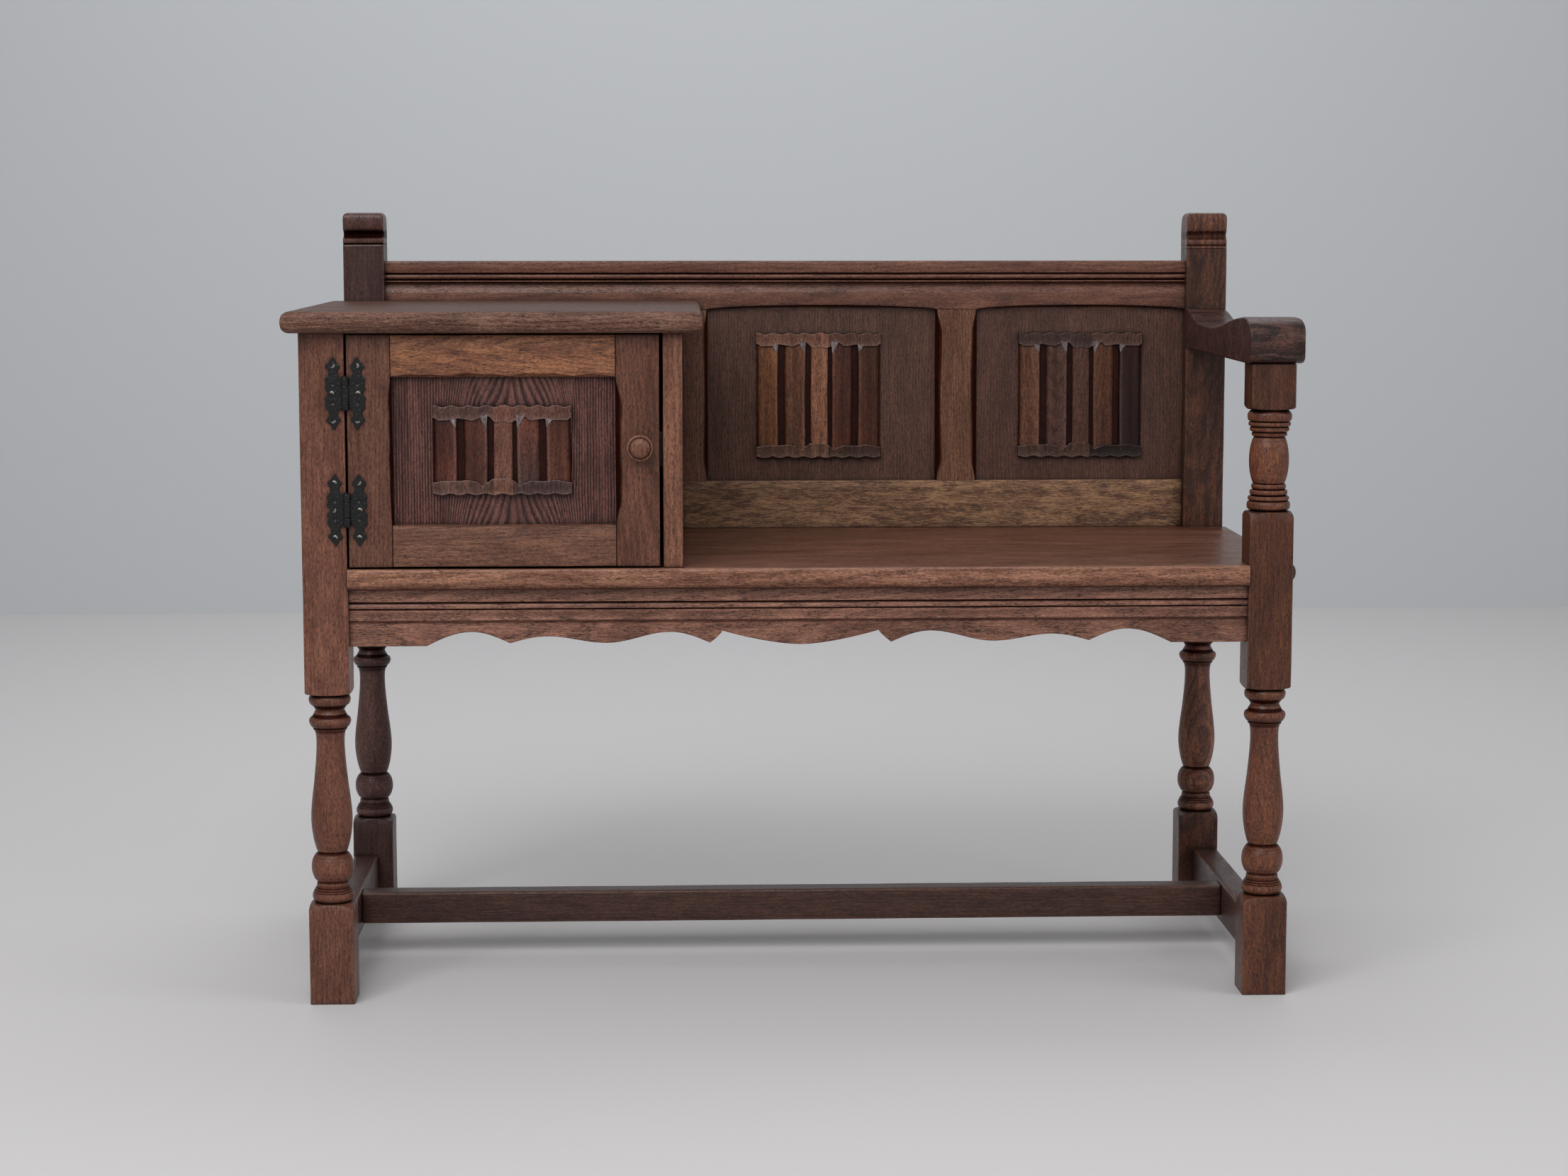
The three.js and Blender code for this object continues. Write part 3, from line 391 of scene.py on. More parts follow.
def in_scene(name, data):
    """A new object of the scene, from a mesh, a lamp or a camera."""
    made = bpy.data.objects.new(name, data)
    bpy.context.scene.collection.objects.link(made)
    return made


def plain_mesh(piece):
    """Gives the mesh that a piece's modifiers make, and takes the piece itself away."""
    bpy.context.view_layer.update()
    ready = piece.evaluated_get(bpy.context.evaluated_depsgraph_get())
    mesh = bpy.data.meshes.new_from_object(ready)
    bpy.data.objects.remove(piece)
    return mesh


def grown(group, points, edges, values):
    """The mesh that a node group makes from points, with its inputs set to named values."""
    seeds = bpy.data.meshes.new(group.name)
    seeds.from_pydata(points, edges, [])
    piece = in_scene(group.name, seeds)
    modifier = piece.modifiers.new(group.name, "NODES")
    modifier.node_group = group
    for item in group.interface.items_tree:
        if item.in_out == "INPUT" and item.name in values:
            modifier[item.identifier] = values[item.name]
    return plain_mesh(piece)


# Stain and painted shade darken a groove: fully where it lies this deep under what stands
# within reach
GROOVE_DARKENING_REACH = 3.5
GROOVE_DARKENING_DEPTH = 3


def turned_stretch(profile, x, y, bottom, top):
    """The skin of a turned stretch of a post, from its profile of (height, radius) shares."""
    mesh = grown(turning, [(out, 0, up) for up, out in profile],
                 [(i, i + 1) for i in range(len(profile) - 1)],
                 {"Bottom": bottom / 1000, "Length": (top - bottom) / 1000,
                  "Radius": (x[1] - x[0]) / 2000, "Sides": TURNED_SIDES})
    skin_points = []
    for vertex in mesh.vertices:
        out = math.hypot(vertex.co.x, vertex.co.y) * 1000
        up = (vertex.co.z * 1000 - bottom) / (top - bottom)
        near = GROOVE_DARKENING_REACH / (top - bottom)
        widest = max([wide for level, wide in profile if abs(level - up) < near] or [0])
        stain_and_shade = (widest * (x[1] - x[0]) / 2 - out) / GROOVE_DARKENING_DEPTH
        skin_points.append((vertex.co.x * 1000 + middle(x), vertex.co.y * 1000 + middle(y),
                            vertex.co.z * 1000, min(max(stain_and_shade, 0), 1)))
    return skin_points, [list(face.vertices) for face in mesh.polygons]


def wood_piece(name, shells, material, crease=38, waver=0.25, tones=None):
    """One wooden piece from closed skins in mm, a hair out of true as hand work is.

    A point may carry a fourth number: how dark stain and painted shade make it there, below 0
    where wear and a painted highlight make it paler, or on a brushed panel its count of year
    rings. tones gives each skin its own colour, or one at its foot and another at its top."""
    shape = bmesh.new()
    marks = shape.verts.layers.float_color.new("tone") if tones else None
    fourth = shape.verts.layers.float.new("year" if "panel" in name else "hollow")
    for i, (points, faces) in enumerate(shells):
        made = []
        foot, head = min(point[2] for point in points), max(point[2] for point in points)
        for point in points:
            at = Vector(point[:3])
            at += noise.noise_vector(at / 60 + Vector((len(name), i, 0))) * waver
            kept = [min(max(a / 1000, low), high) for a, low, high in zip(at, *cad_box)]
            vertex = shape.verts.new(kept)
            if len(point) > 3:
                vertex[fourth] = point[3]
            if marks:
                up = (point[2] - foot) / (head - foot)
                vertex[marks] = Vector(colour(tones[i][0])).lerp(Vector(colour(tones[i][-1])), up)
            made.append(vertex)
        for face in faces:
            shape.faces.new([made[j] for j in face])
    bmesh.ops.recalc_face_normals(shape, faces=shape.faces)
    for edge in shape.edges:
        if len(edge.link_faces) == 2:
            edge.smooth = edge.calc_face_angle(0) < math.radians(crease)
    mesh = bpy.data.meshes.new(name)
    shape.to_mesh(mesh)
    shape.free()
    mesh.materials.append(material)
    for polygon in mesh.polygons:
        polygon.use_smooth = True
    return in_scene(name, mesh)


def stands_for(piece, slot, *nodes):
    """The piece takes the place of CAD nodes of one body. Its slot is not used."""
    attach(piece, frame["nodes"][nodes[0]]["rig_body"])
    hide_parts(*nodes)


def oak_piece(node, slot, shells, material, **ways):
    """A wooden piece made in the place of one CAD node."""
    stands_for(wood_piece(node + "_oak", shells, material, **ways), slot, node)


# Turned stretches from their foot up: shares of the height and of half the post's width
LEG_SHARES = (
    (-0.03, 0.6), (0, 0.72), (0.002, 0.8), (0.009, 0.86), (0.022, 0.915), (0.034, 0.925),
    (0.044, 0.9), (0.0475, 0.89), (0.0485, 0.845), (0.051, 0.858), (0.0575, 0.85),
    (0.0585, 0.8), (0.061, 0.812), (0.068, 0.79), (0.069, 0.745), (0.079, 0.73),
    (0.092, 0.715), (0.0985, 0.685), (0.103, 0.72), (0.11, 0.785), (0.12, 0.84),
    (0.134, 0.893), (0.152, 0.935), (0.173, 0.944), (0.193, 0.924), (0.207, 0.888),
    (0.221, 0.825), (0.232, 0.748), (0.2385, 0.67), (0.241, 0.62), (0.2435, 0.655),
    (0.25, 0.692), (0.282, 0.783), (0.31, 0.84), (0.344, 0.889), (0.38, 0.92),
    (0.42, 0.922), (0.46, 0.897), (0.508, 0.85), (0.563, 0.782), (0.624, 0.722),
    (0.686, 0.668), (0.741, 0.636), (0.785, 0.634), (0.809, 0.66), (0.825, 0.7),
    (0.827, 0.745), (0.836, 0.76), (0.838, 0.72), (0.84, 0.8), (0.848, 0.87),
    (0.858, 0.915), (0.868, 0.94), (0.88, 0.92), (0.887, 0.87), (0.8885, 0.81),
    (0.891, 0.795), (0.908, 0.712), (0.9225, 0.65), (0.935, 0.71), (0.943, 0.775),
    (0.9455, 0.76), (0.947, 0.83), (0.951, 0.875), (0.96, 0.915), (0.973, 0.938),
    (0.985, 0.91), (0.994, 0.84), (1, 0.76), (1.03, 0.6),
)
ARM_POST_SHARES = (
    (-0.03, 0.7), (0, 0.78), (0.01, 0.88), (0.025, 0.955), (0.05, 0.978), (0.075, 0.965),
    (0.092, 0.92), (0.0985, 0.82), (0.104, 0.89), (0.115, 0.925), (0.13, 0.925),
    (0.144, 0.89), (0.151, 0.76), (0.158, 0.82), (0.172, 0.846), (0.192, 0.846),
    (0.205, 0.815), (0.211, 0.69), (0.217, 0.75), (0.232, 0.776), (0.25, 0.774),
    (0.262, 0.75), (0.267, 0.66), (0.273, 0.715), (0.33, 0.805), (0.41, 0.875),
    (0.5, 0.897), (0.59, 0.875), (0.67, 0.805), (0.727, 0.71), (0.733, 0.66),
    (0.738, 0.75), (0.748, 0.792), (0.764, 0.795), (0.775, 0.775), (0.78, 0.72),
    (0.785, 0.83), (0.798, 0.88), (0.816, 0.882), (0.828, 0.86), (0.8325, 0.79),
    (0.838, 0.9), (0.85, 0.946), (0.866, 0.946), (0.877, 0.92), (0.882, 0.84),
    (0.89, 0.94), (0.91, 0.985), (0.935, 0.994), (0.96, 0.98), (0.98, 0.92),
    (1, 0.82), (1.03, 0.7),
)


def front_post(name, shade, tones, under_arm=False):
    x, y, z = span(name)
    block_top = SEAT_BLOCK_TOP if under_arm else z[1]
    shells = [
        post_block(x, y, 0, FRONT_FOOT_TOP, 0, FOOT_DOME),
        turned_stretch(LEG_SHARES, x, y, FRONT_FOOT_TOP, FRONT_BLOCK_BOTTOM),
        post_block(x, y, FRONT_BLOCK_BOTTOM, block_top, BLOCK_DOME,
                   FOOT_DOME if under_arm else 0),
    ]
    if under_arm:
        shells.append(turned_stretch(ARM_POST_SHARES, x, y, block_top, ARM_BLOCK_BOTTOM))
        shells.append(post_block(x, y, ARM_BLOCK_BOTTOM, z[1], BLOCK_DOME, 0))
    oak_piece(name, "oak_frame", shells, shade, tones=tones)


# The stain took more or less deeply along a post, so each skin has its own tone
front_post("front_left_post", stained_oak(
    "oak of the left front post", "z", "#492a1e", "#704538", "#8e5e49",
    heart=(-540, -150, 300), bands=0.1, pores=0.65, toned=True),
    (("#e8e8e8",), ("#f2ece8",), ("#ffffff", "#dedede")))
front_post("front_right_post", stained_oak(
    "oak of the right front post", "z", "#3a2018", "#64392b", "#885436",
    heart=(540, -140, 400), bands=0.14, toned=True),
    (("#e0e0e0",), ("#ffffff",), ("#cccccc",), ("#ffffff",), ("#bebebe",)), under_arm=True)


# Back posts
# They are turned like the front ones up to the seat, then run up square to a scroll that
# is cut across the front: a roll, a cove and a bead, over a back that is rounded off.

BACK_FOOT_TOP = 117
BACK_BLOCK_BOTTOM = 329
BACK_ROUNDING = 20
SIDE_ROUNDING = 6
SIDE_SHARE = 0.9
# Only what lies further under the top than the roll's crown differs between the two posts
ROLL_CROWN = 7
# The scroll's front from its top down: distance under the top, distance behind the post's
# face, and how dark stain and painted shade make it there, darkest in the cove
SCROLL_FRONT = (
    (0, 6, 0), (0.3, 4, 0), (1, 2.4, 0), (2.2, 1.1, 0), (4, 0.4, 0), (7, 0, 0),
    (12, 0.1, 0), (16, 0.6, 0), (18.6, 1.6, 0.1), (19.8, 2.8, 0.3), (20.5, 4.6, 0.7),
    (21.4, 7, 1), (22.8, 9, 1), (24.6, 9.8, 1), (26.4, 9, 1), (27.7, 7, 1), (28.5, 4.4, 0.9),
    (28.9, 2.2, 0.6), (29.3, 1, 0.2), (30.2, 0.2, -0.1), (33.2, 0.1, 0), (34.2, 0.6, 0.1),
    (34.7, 1.4, 0.7), (35, 2.6, 1), (35.8, 2.6, 1), (36.1, 1.2, 0.7), (36.5, 0.4, -0.2),
    (38, 0, 0),
)


def circle_inset(under_top, reach):
    """How far a quarter round of that radius has still to come out, so far under its top."""
    left = max(reach - under_top, 0)
    return reach - math.sqrt(reach * reach - left * left)


def back_post(name, shade, tones, length_share=1, depth_share=1):
    """One back post. The shares are of the left one's cut scroll."""
    x, y, z = span(name)
    rings = []
    for drop, inset, stain_and_shade in SCROLL_FRONT:
        if drop > ROLL_CROWN:
            drop *= length_share
            inset *= depth_share
            stain_and_shade *= depth_share
        side = SIDE_SHARE * circle_inset(drop, SIDE_ROUNDING)
        back = circle_inset(drop, BACK_ROUNDING)
        ring = square_ring((x[0] + side, x[1] - side), (y[0] + inset, y[1] - back),
                           POST_EASING, 12)
        rings.append([(*point, z[1] - drop, stain_and_shade) for point in ring])
    scroll_end = z[1] - SCROLL_FRONT[-1][0] * length_share
    foot = post_block(x, y, 0, BACK_FOOT_TOP, 0, FOOT_DOME)
    leg = turned_stretch(LEG_SHARES, x, y, BACK_FOOT_TOP, BACK_BLOCK_BOTTOM)
    block = post_block(x, y, BACK_BLOCK_BOTTOM, scroll_end, BLOCK_DOME, 0)
    oak_piece(name, "oak_frame", [foot, leg, block, loft(rings)], shade, tones=tones)


# The last tone is the scroll's, lighter than the block's: a painted sheen on its roll
back_post("back_left_post", stained_oak(
    "oak of the left back post", "z", "#352019", "#553935", "#704e46",
    heart=(-520, 260, 400), bands=0.1, mottle=0.5, toned=True),
    (("#c8c8c8",), ("#fcfcfc",), ("#c4c4c4",), ("#ffffff",)))
back_post("back_right_post", stained_oak(
    "oak of the right back post", "z", "#452620", "#704a3e", "#a86a48",
    heart=(484, 218, 700), ring=6, tilt=0.12, bands=0.6, figure=55, mottle=0.5, toned=True),
    (("#aaa4a4",), ("#ffffff",), ("#9c9a9a",), ("#d2d2d2",)), length_share=1.06,
    depth_share=0.6)


# Stretchers
# Three boards on edge make an H between the feet. All their edges are rounded, and their
# oak is darker than the rest: stain that no hand has worn, and painted shade, as little
# light reaches under the seat.


def board(node, easing, grain, step=14):
    """A CAD board's skin with eased edges, in slices along its grain."""
    spans = span(node)
    axis = "xyz".index(grain)
    across = [i for i in range(3) if i != axis]
    low, high = spans[axis]
    count = max(3, round((high - low) / step))
    soft = easing * 0.6
    shares = [(low, soft), (low + soft * 0.35, soft * 0.3), (low + soft, 0)]
    shares += [(level, 0) for level in evenly(low, high, count)[1:-1]]
    shares += [(high - soft, 0), (high - soft * 0.35, soft * 0.3), (high, soft)]
    rings = []
    for level, inset in shares:
        first, second = [(spans[i][0] + inset, spans[i][1] - inset) for i in across]
        ring = []
        for i, (a, b) in enumerate(square_ring(first, second, easing, 5)):
            point = [0, 0, 0, EDGE_WEAR if i % 8 in (1, 2) else 0]
            point[axis], point[across[0]], point[across[1]] = level, a, b
            ring.append(tuple(point))
        rings.append(ring)
    return loft(rings)


for node, grain, heart in (("side_stretcher_left", "y", (-500, 0, -60)),
                           ("side_stretcher_right", "y", (520, 0, -50)),
                           ("mid_stretcher", "x", (0, 60, 130))):
    oak_piece(node, "oak_stretchers", [board(node, 3, grain)], stained_oak(
        "dark oak of the " + node.replace("_", " "), grain, "#2a1a17", "#442c26", "#5a3c32",
        heart=heart, pores=0.6, fleck=0.35))


# Seat
# One board, notched round the posts, with a rounded nosing between the front posts. Years
# of use have polished it, and worn the stain through to gold along the nosing.

SEAT_NOSE = 3
# How much lower the open part of the seat has worn than the part in the cabinet
SEAT_DISH = 0.3
# Painted shade: the seat's top and its ends are darker, for the shade the back casts
SEAT_TOP_SHADE = 0.5
seat_x, seat_y, seat_z = span("seat_board")
post_x = span("front_left_post")[0]
partition_right = span("cabinet_partition")[0][1]
inner_left, inner_right = post_x[1], span("front_right_post")[0][0]
rail_front = span("back_lower_rail")[1][0]


def seat_ring(x, top):
    front, under = seat_y[0], seat_z[0]
    ring = []
    for i in range(9):
        turn = math.radians(90 + 90 * i / 8)
        ring.append((x, front + SEAT_NOSE * (1 + math.cos(turn)),
                     top - SEAT_NOSE * (1 - math.sin(turn)), -0.8 if 1 < i < 6 else 0))
    # Painted shade under the nosing, and along the back edge where the seat meets the rail
    ring += [(x, front, (under + top) / 2), (x, front, under + 4, 0.35),
             (x, front + 0.4, under + 1.4, 0.5), (x, front + 1.6, under, 1)]
    ring += [(x, rail_front, under, 1), (x, rail_front, top, 1)]
    ring += [(x, y, top, SEAT_TOP_SHADE) for y in evenly(rail_front, front + SEAT_NOSE, 24)[1:24]]
    return ring


open_top = seat_z[1] - SEAT_DISH
seat_stops = evenly(inner_left, inner_right, 70)
seat_rings = [seat_ring(x, seat_z[1]) for x in seat_stops if x < partition_right]
seat_rings += [seat_ring(partition_right, top) for top in (seat_z[1], open_top)]
seat_rings += [seat_ring(x, open_top) for x in seat_stops if x > partition_right]
seat_shells = [loft(seat_rings)]
back_post_front = span("back_left_post")[1][0]
front_post_back = span("front_left_post")[1][1]
for x, top in (((seat_x[0], inner_left), seat_z[1]), ((inner_right, seat_x[1]), open_top)):
    ring = square_ring(x, (front_post_back, back_post_front), 0.5, 8)
    seat_shells.append(loft([[(*point, level, SEAT_TOP_SHADE) for point in ring]
                             for level in (seat_z[0], seat_z[0] + 8, top)]))
oak_piece("seat_board", "oak_seat", seat_shells, stained_oak(
    "polished oak of the seat", "x", "#563221", "#835a48", "#b08068", heart=(90, 20, 330),
    ring=4.4, rough=0.33, gloss=0.26, relief=0.06), waver=0.12)


# Front apron
# A moulded board: a flat, a bead between two grooves, a band and a sunk field, with a
# scalloped lower edge that is sawn alike on both halves.

apron_x, apron_y, apron_z = span("front_apron")
SCALLOP_RISE = 14.5
# Each stretch runs to a share of the half width and a share of the scallop's rise
SCALLOP_SHARES = (
    (0.174, 1, lambda t: t ** 1.6), (0.202, 0.14, lambda t: t ** 0.8),
    (0.29, 0.93, lambda t: math.sin(math.pi / 2 * t)),
    (0.431, 0.17, lambda t: (1 - math.cos(math.pi * t)) / 2),
    (0.5625, 0.65, lambda t: (1 - math.cos(math.pi * t)) / 2),
    (0.6455, 0.17, lambda t: 1 - math.cos(math.pi / 2 * t)),
    (0.731, 1, lambda t: math.sin(math.pi / 2 * t)),
    (0.83, 0, lambda t: 1 - math.cos(math.pi / 2 * t)), (1, 0, lambda t: t),
)
# The board's front from its top down: distance under the top, distance behind the front,
# and how dark stain and painted shade make it there, below 0 paler
APRON_FRONT = (
    (0, 0.4, 0.6), (0.5, 0, 0.2), (3, 0, -0.2), (13.6, 0, -0.2), (14, 0.6, 0.6),
    (14.2, 2.6, 1), (15, 2.6, 1),
    (15.4, 1.6, 0.7), (16.4, 0.7, 0.3), (17.4, 0.15, 0), (18.6, 0, 0), (20, 0.1, 0),
    (20.9, 0.5, 0.5), (21.1, 2.4, 1), (22.2, 2.4, 1), (22.4, 1.3, 0.4), (23.4, 1.1, 0),
    (26, 1.5, 0.3), (29, 1.5, 0.2), (31.6, 1.1, 0), (32.8, 0.9, 0), (33.2, 1.1, 0.5),
    (34.2, 2, 0.6), (35.2, 2.9, 0.6), (36.2, 3.3, 0.5), (37, 3.3, 0.2), (40, 3.2, 0.2),
    (44, 3.1, 0.2),
)


def scallop_stops():
    """Places along half the apron with the rise of its lower edge there."""
    stops = [(0, 0)]
    for to, height, bend in SCALLOP_SHARES:
        from_share, from_rise = stops[-1]
        for i in range(1, 15):
            stops.append((from_share + (to - from_share) * i / 14,
                          from_rise + (height - from_rise) * bend(i / 14)))
    return stops


def apron_ring(x, rise):
    top, front, back = apron_z[1], apron_y[0], apron_y[1]
    bottom = apron_z[0] + rise
    ring = [(x, front + behind, top - under, stain_and_shade) for under, behind, stain_and_shade in APRON_FRONT]
    field = front + APRON_FRONT[-1][1]
    # The field is painted darker, as the seat's shadow, and its lower edge as the shade under it
    ring += [(x, field, level, 0.2) for level in evenly(ring[-1][2], bottom + 1, 4)[1:]]
    ring += [(x, field + 0.2, bottom + 0.2, 0.5), (x, field + 0.8, bottom, 1),
             (x, back - 1, bottom, 1), (x, back, bottom + 1), (x, back, top)]
    return ring


apron_middle, apron_half = middle(apron_x), (apron_x[1] - apron_x[0]) / 2
right_half = scallop_stops()
stops = [(-share, rise) for share, rise in reversed(right_half[1:])] + right_half
oak_piece("front_apron", "oak_frame", [loft([
    apron_ring(apron_middle + share * apron_half, rise * SCALLOP_RISE)
    for share, rise in stops])], stained_oak(
        "oak of the front apron", "x", "#523228", "#885e50", "#ae7f68",
        heart=(120, -130, 380), ring=4, tilt=0.05, pores=0.9, mottle=0.3), waver=0.15)


# Plain aprons
# Boards under the seat at both ends and at the back, let into the posts.


def node_oak(node, grain, *tones, **ways):
    """Stained oak named for the CAD node it dresses."""
    return stained_oak("oak of the " + node.replace("_", " "), grain, *tones, **ways)


for node, grain, heart in (("side_apron_left", "y", (-560, 0, 330)),
                           ("side_apron_right", "y", (560, 0, 340)),
                           ("back_apron", "x", (0, 320, 360))):
    oak_piece(node, "oak_frame", [board(node, 1.5, grain)],
              node_oak(node, grain, "#3a241d", "#5c3b30", "#7a5240", heart=heart))


# Back rails
# The top rail is moulded along its upper half, and its front edge arches over the middle
# and right panels. The lower rail is plain quartered oak with ray flecks all over it.

rail_x, rail_y, rail_z = span("back_top_rail")
TOP_RAIL_ARCH = 5
RAIL_BACK_LIP = 8
# The rail's front from its top down, as the apron's is given. Its cove is painted dark:
# stain, and the shade under the bead above it.
TOP_RAIL_FRONT = (
    (0, 2, 0), (0.3, 1, 0), (1, 0.3, 0), (2, 0, 0), (12.9, 0, 0), (13.4, 0.25, 0.3),
    (13.8, 1, 0.8), (14, 2.6, 1), (15.2, 2.6, 1), (15.5, 1.2, 0.3), (16.2, 0.4, 0),
    (17.4, 0, 0), (18.6, 0.1, 0), (19.8, 0.6, 0.4), (20.8, 1.5, 0.8), (21.1, 2.9, 1),
    (22.1, 2.9, 1), (22.4, 0.9, 0.3), (23.8, 0.9, 0), (24, 1.4, 0.6), (24.1, 3.4, 0.9),
    (26, 3.8, 0.8), (28.4, 3.4, 0.6), (30, 2.6, 0.3), (31.4, 1.8, 0), (33, 1.1, 0),
    (34.8, 0.5, 0), (35.8, 0.1, -0.2), (36.4, 0, -0.2), (39, 0, -0.2),
)
panel_arches = [span("back_panel_" + place)[0] for place in ("middle", "right")]


def arch_rise(x):
    for low, high in panel_arches:
        if low < x < high:
            share = (x - low) / (high - low)
            return TOP_RAIL_ARCH * math.sqrt(math.sin(math.pi * share))
    return 0.0


def top_rail_ring(x):
    top, bottom, front, back = rail_z[1], rail_z[0], rail_y[0], rail_y[1]
    edge = bottom + arch_rise(x)
    ring = [(x, front + behind, top - under, stain_and_shade)
            for under, behind, stain_and_shade in TOP_RAIL_FRONT]
    ring += [(x, front, level) for level in evenly(ring[-1][2], edge + 1.6, 3)[1:]]
    ring += [(x, front + 0.4, edge + 0.4, 0.4), (x, front + 1.4, edge, 1),
             (x, front + RAIL_BACK_LIP, edge, 1), (x, front + RAIL_BACK_LIP + 0.01, bottom),
             (x, back, bottom), (x, back, top - 1.5), (x, back - 1.5, top)]
    return ring


rail_stops = sorted({*evenly(*rail_x, 90)}
                    | {place for ends in panel_arches for place in evenly(*ends, 60)}
                    | {low + 0.4 * i for low, high in panel_arches for i in range(8)}
                    | {high - 0.4 * i for low, high in panel_arches for i in range(8)})
oak_piece("back_top_rail", "oak_frame", [loft([top_rail_ring(x) for x in rail_stops])],
          stained_oak("oak of the top rail", "x", "#442921", "#6a4539", "#875c49",
                      heart=(0, 270, 700), pores=0.7), waver=0.15)
oak_piece("back_lower_rail", "oak_frame", [board("back_lower_rail", 1.2, "x")],
          stained_oak("quartered oak of the lower rail", "x", "#3e271e", "#785443", "#a47e5c",
                      heart=(200, 420, 500), ring=2.6, pores=0.6, fleck=0.6))


# Back muntins
# Uprights between the panels. Their front edges were bevelled with a draw knife, so the
# bevel wanders, and it is painted darkest: stain, and painted shade, as the bevel faces
# away from the light.

MUNTIN_BEVEL_DEPTH = 6
BEVEL_RUN_OUT = 26


def run_out(level, ends):
    """1 along a bevel, easing to 0 where it runs out at its ends."""
    near = min(level - ends[0], ends[1] - level) / BEVEL_RUN_OUT
    share = min(max(near, 0), 1)
    return share * share * (3 - 2 * share)


def muntin(node, bevel, phase):
    x, y, z = span(node)
    rings = []
    for level in evenly(*z, 90):
        reach = 0.25 + 0.75 * run_out(level, z)
        cut = [bevel * reach * (1 + 0.12 * math.sin(k + level / 23 + phase))
               for k in (0, 2.4)]
        rings.append([
            (x[0], y[1], level), (x[0], y[0] + MUNTIN_BEVEL_DEPTH, level, 1),
            (x[0] + cut[0] * 0.6, y[0] + 3.2, level, 1), (x[0] + cut[0], y[0] + 0.3, level, 0.7),
            (x[0] + cut[0] + 1, y[0], level, 0), (x[1] - cut[1] - 1, y[0], level, 0),
            (x[1] - cut[1], y[0] + 0.3, level, 0.7), (x[1] - cut[1] * 0.6, y[0] + 3.2, level, 1),
            (x[1], y[0] + MUNTIN_BEVEL_DEPTH, level, 1), (x[1], y[1], level)])
    return loft(rings)


for node, bevel, phase, heart in (("back_muntin_left", 4.2, 1.0, (-180, 250, 600)),
                                  ("back_muntin_centre", 6.2, 3.6, (240, 230, 640))):
    oak_piece(node, "oak_frame", [muntin(node, bevel, phase)], node_oak(
        node, "z", "#462a1f", "#674434", "#875d45", heart=heart, ring=3, fleck=0.2))


# Back panels
# Thin boards behind the rails and muntins, brushed down with steel wire, which scrubs out
# the soft early wood and leaves its year rings standing as shallow furrows.

PANEL_STEP = 1.2
RING_WIDTH = 3.6


def brushed_panel(node, years_at, furrow):
    """A panel whose front has a furrow along each year ring."""
    x, y, z = span(node)
    columns = round((x[1] - x[0]) / PANEL_STEP)
    rings = []
    for level in evenly(*z, round((z[1] - z[0]) / 4)):
        line = []
        for place in evenly(*x, columns):
            years = years_at(place, level)
            depth = furrow * max(0, math.sin(2 * math.pi * years))
            line.append((place, y[0] + depth, level, years))
        line += [(x[1], y[1], level, (x[1] - x[0]) / RING_WIDTH), (x[0], y[1], level, 0)]
        rings.append(line)
    return loft(rings)


def upright_years(x, z):
    """The count of year rings on a board whose rings run nearly upright, and wander."""
    return (x + 9 * noise.noise(Vector((x / 50, z / 170, 0)))) / RING_WIDTH


for place, heart, tones in (
        ("left", (-300, 330, 600), ("#33201a", "#4a2f27", "#60402f")),
        ("middle", (80, 300, 560), ("#37221a", "#51352c", "#69483a")),
        ("right", (420, 310, 640), ("#37221a", "#51342c", "#674538"))):
    node = "back_panel_" + place
    oak_piece(node, "oak_back_panels", [brushed_panel(node, upright_years, 0.1)], stained_oak(
        "brushed oak of the %s back panel" % place, "z", *tones, heart=heart, pores=0.65,
        relief=0.2, rough=0.48, counted_years=True))


# Linenfold carvings
# Each is carved from one thin board: five upright folds, which rise towards the middle one
# and drop into dark grooves, under a band at each end with wavy edges. Each fold took the
# stain its own way. The grooves and the ground are painted dark with stain and painted
# shade, the ridges and the bands' rims pale as painted highlights, and a small pale grey
# facet, a painted reflection, shows where the band meets the folds' ridges.

# Where each fold starts and ends, from left to right
FOLD_EDGE_SHARES = ((0.004, 0.178), (0.218, 0.4), (0.434, 0.58), (0.6, 0.778), (0.812, 0.996))
# How far a fold stands out at shares of its width, the middle one and those beside it,
# and how dark stain and painted shade make it there, below 0 a painted highlight on the ridge
EVEN_FOLD_SHARES = (
    (0, 0, 1), (0.012, 0.62, 0.8), (0.05, 0.86, 0.3), (0.12, 0.94, 0), (0.3, 0.99, 0),
    (0.5, 1, 0), (0.7, 0.99, 0), (0.88, 0.94, 0), (0.95, 0.86, 0.3), (0.988, 0.62, 0.8),
    (1, 0, 1),
)
SLANTED_FOLD_SHARES = (
    (0, 0, 1), (0.012, 0.42, 1), (0.05, 0.58, 0.8), (0.12, 0.68, 0.4), (0.22, 0.72, 0.1),
    (0.34, 0.7, 0.2), (0.46, 0.66, 0.3), (0.6, 0.7, 0.1), (0.72, 0.82, 0),
    (0.81, 0.95, -0.1), (0.87, 1, -0.4), (0.91, 0.99, -0.3), (0.95, 0.92, 0.2),
    (0.985, 0.7, 0.8), (1, 0, 1),
)
PLATE = 3
FOLD_RELIEF = 6.2
BAND_RELIEF = 7.0
SIDE_BAND_RELIEF = 6.7
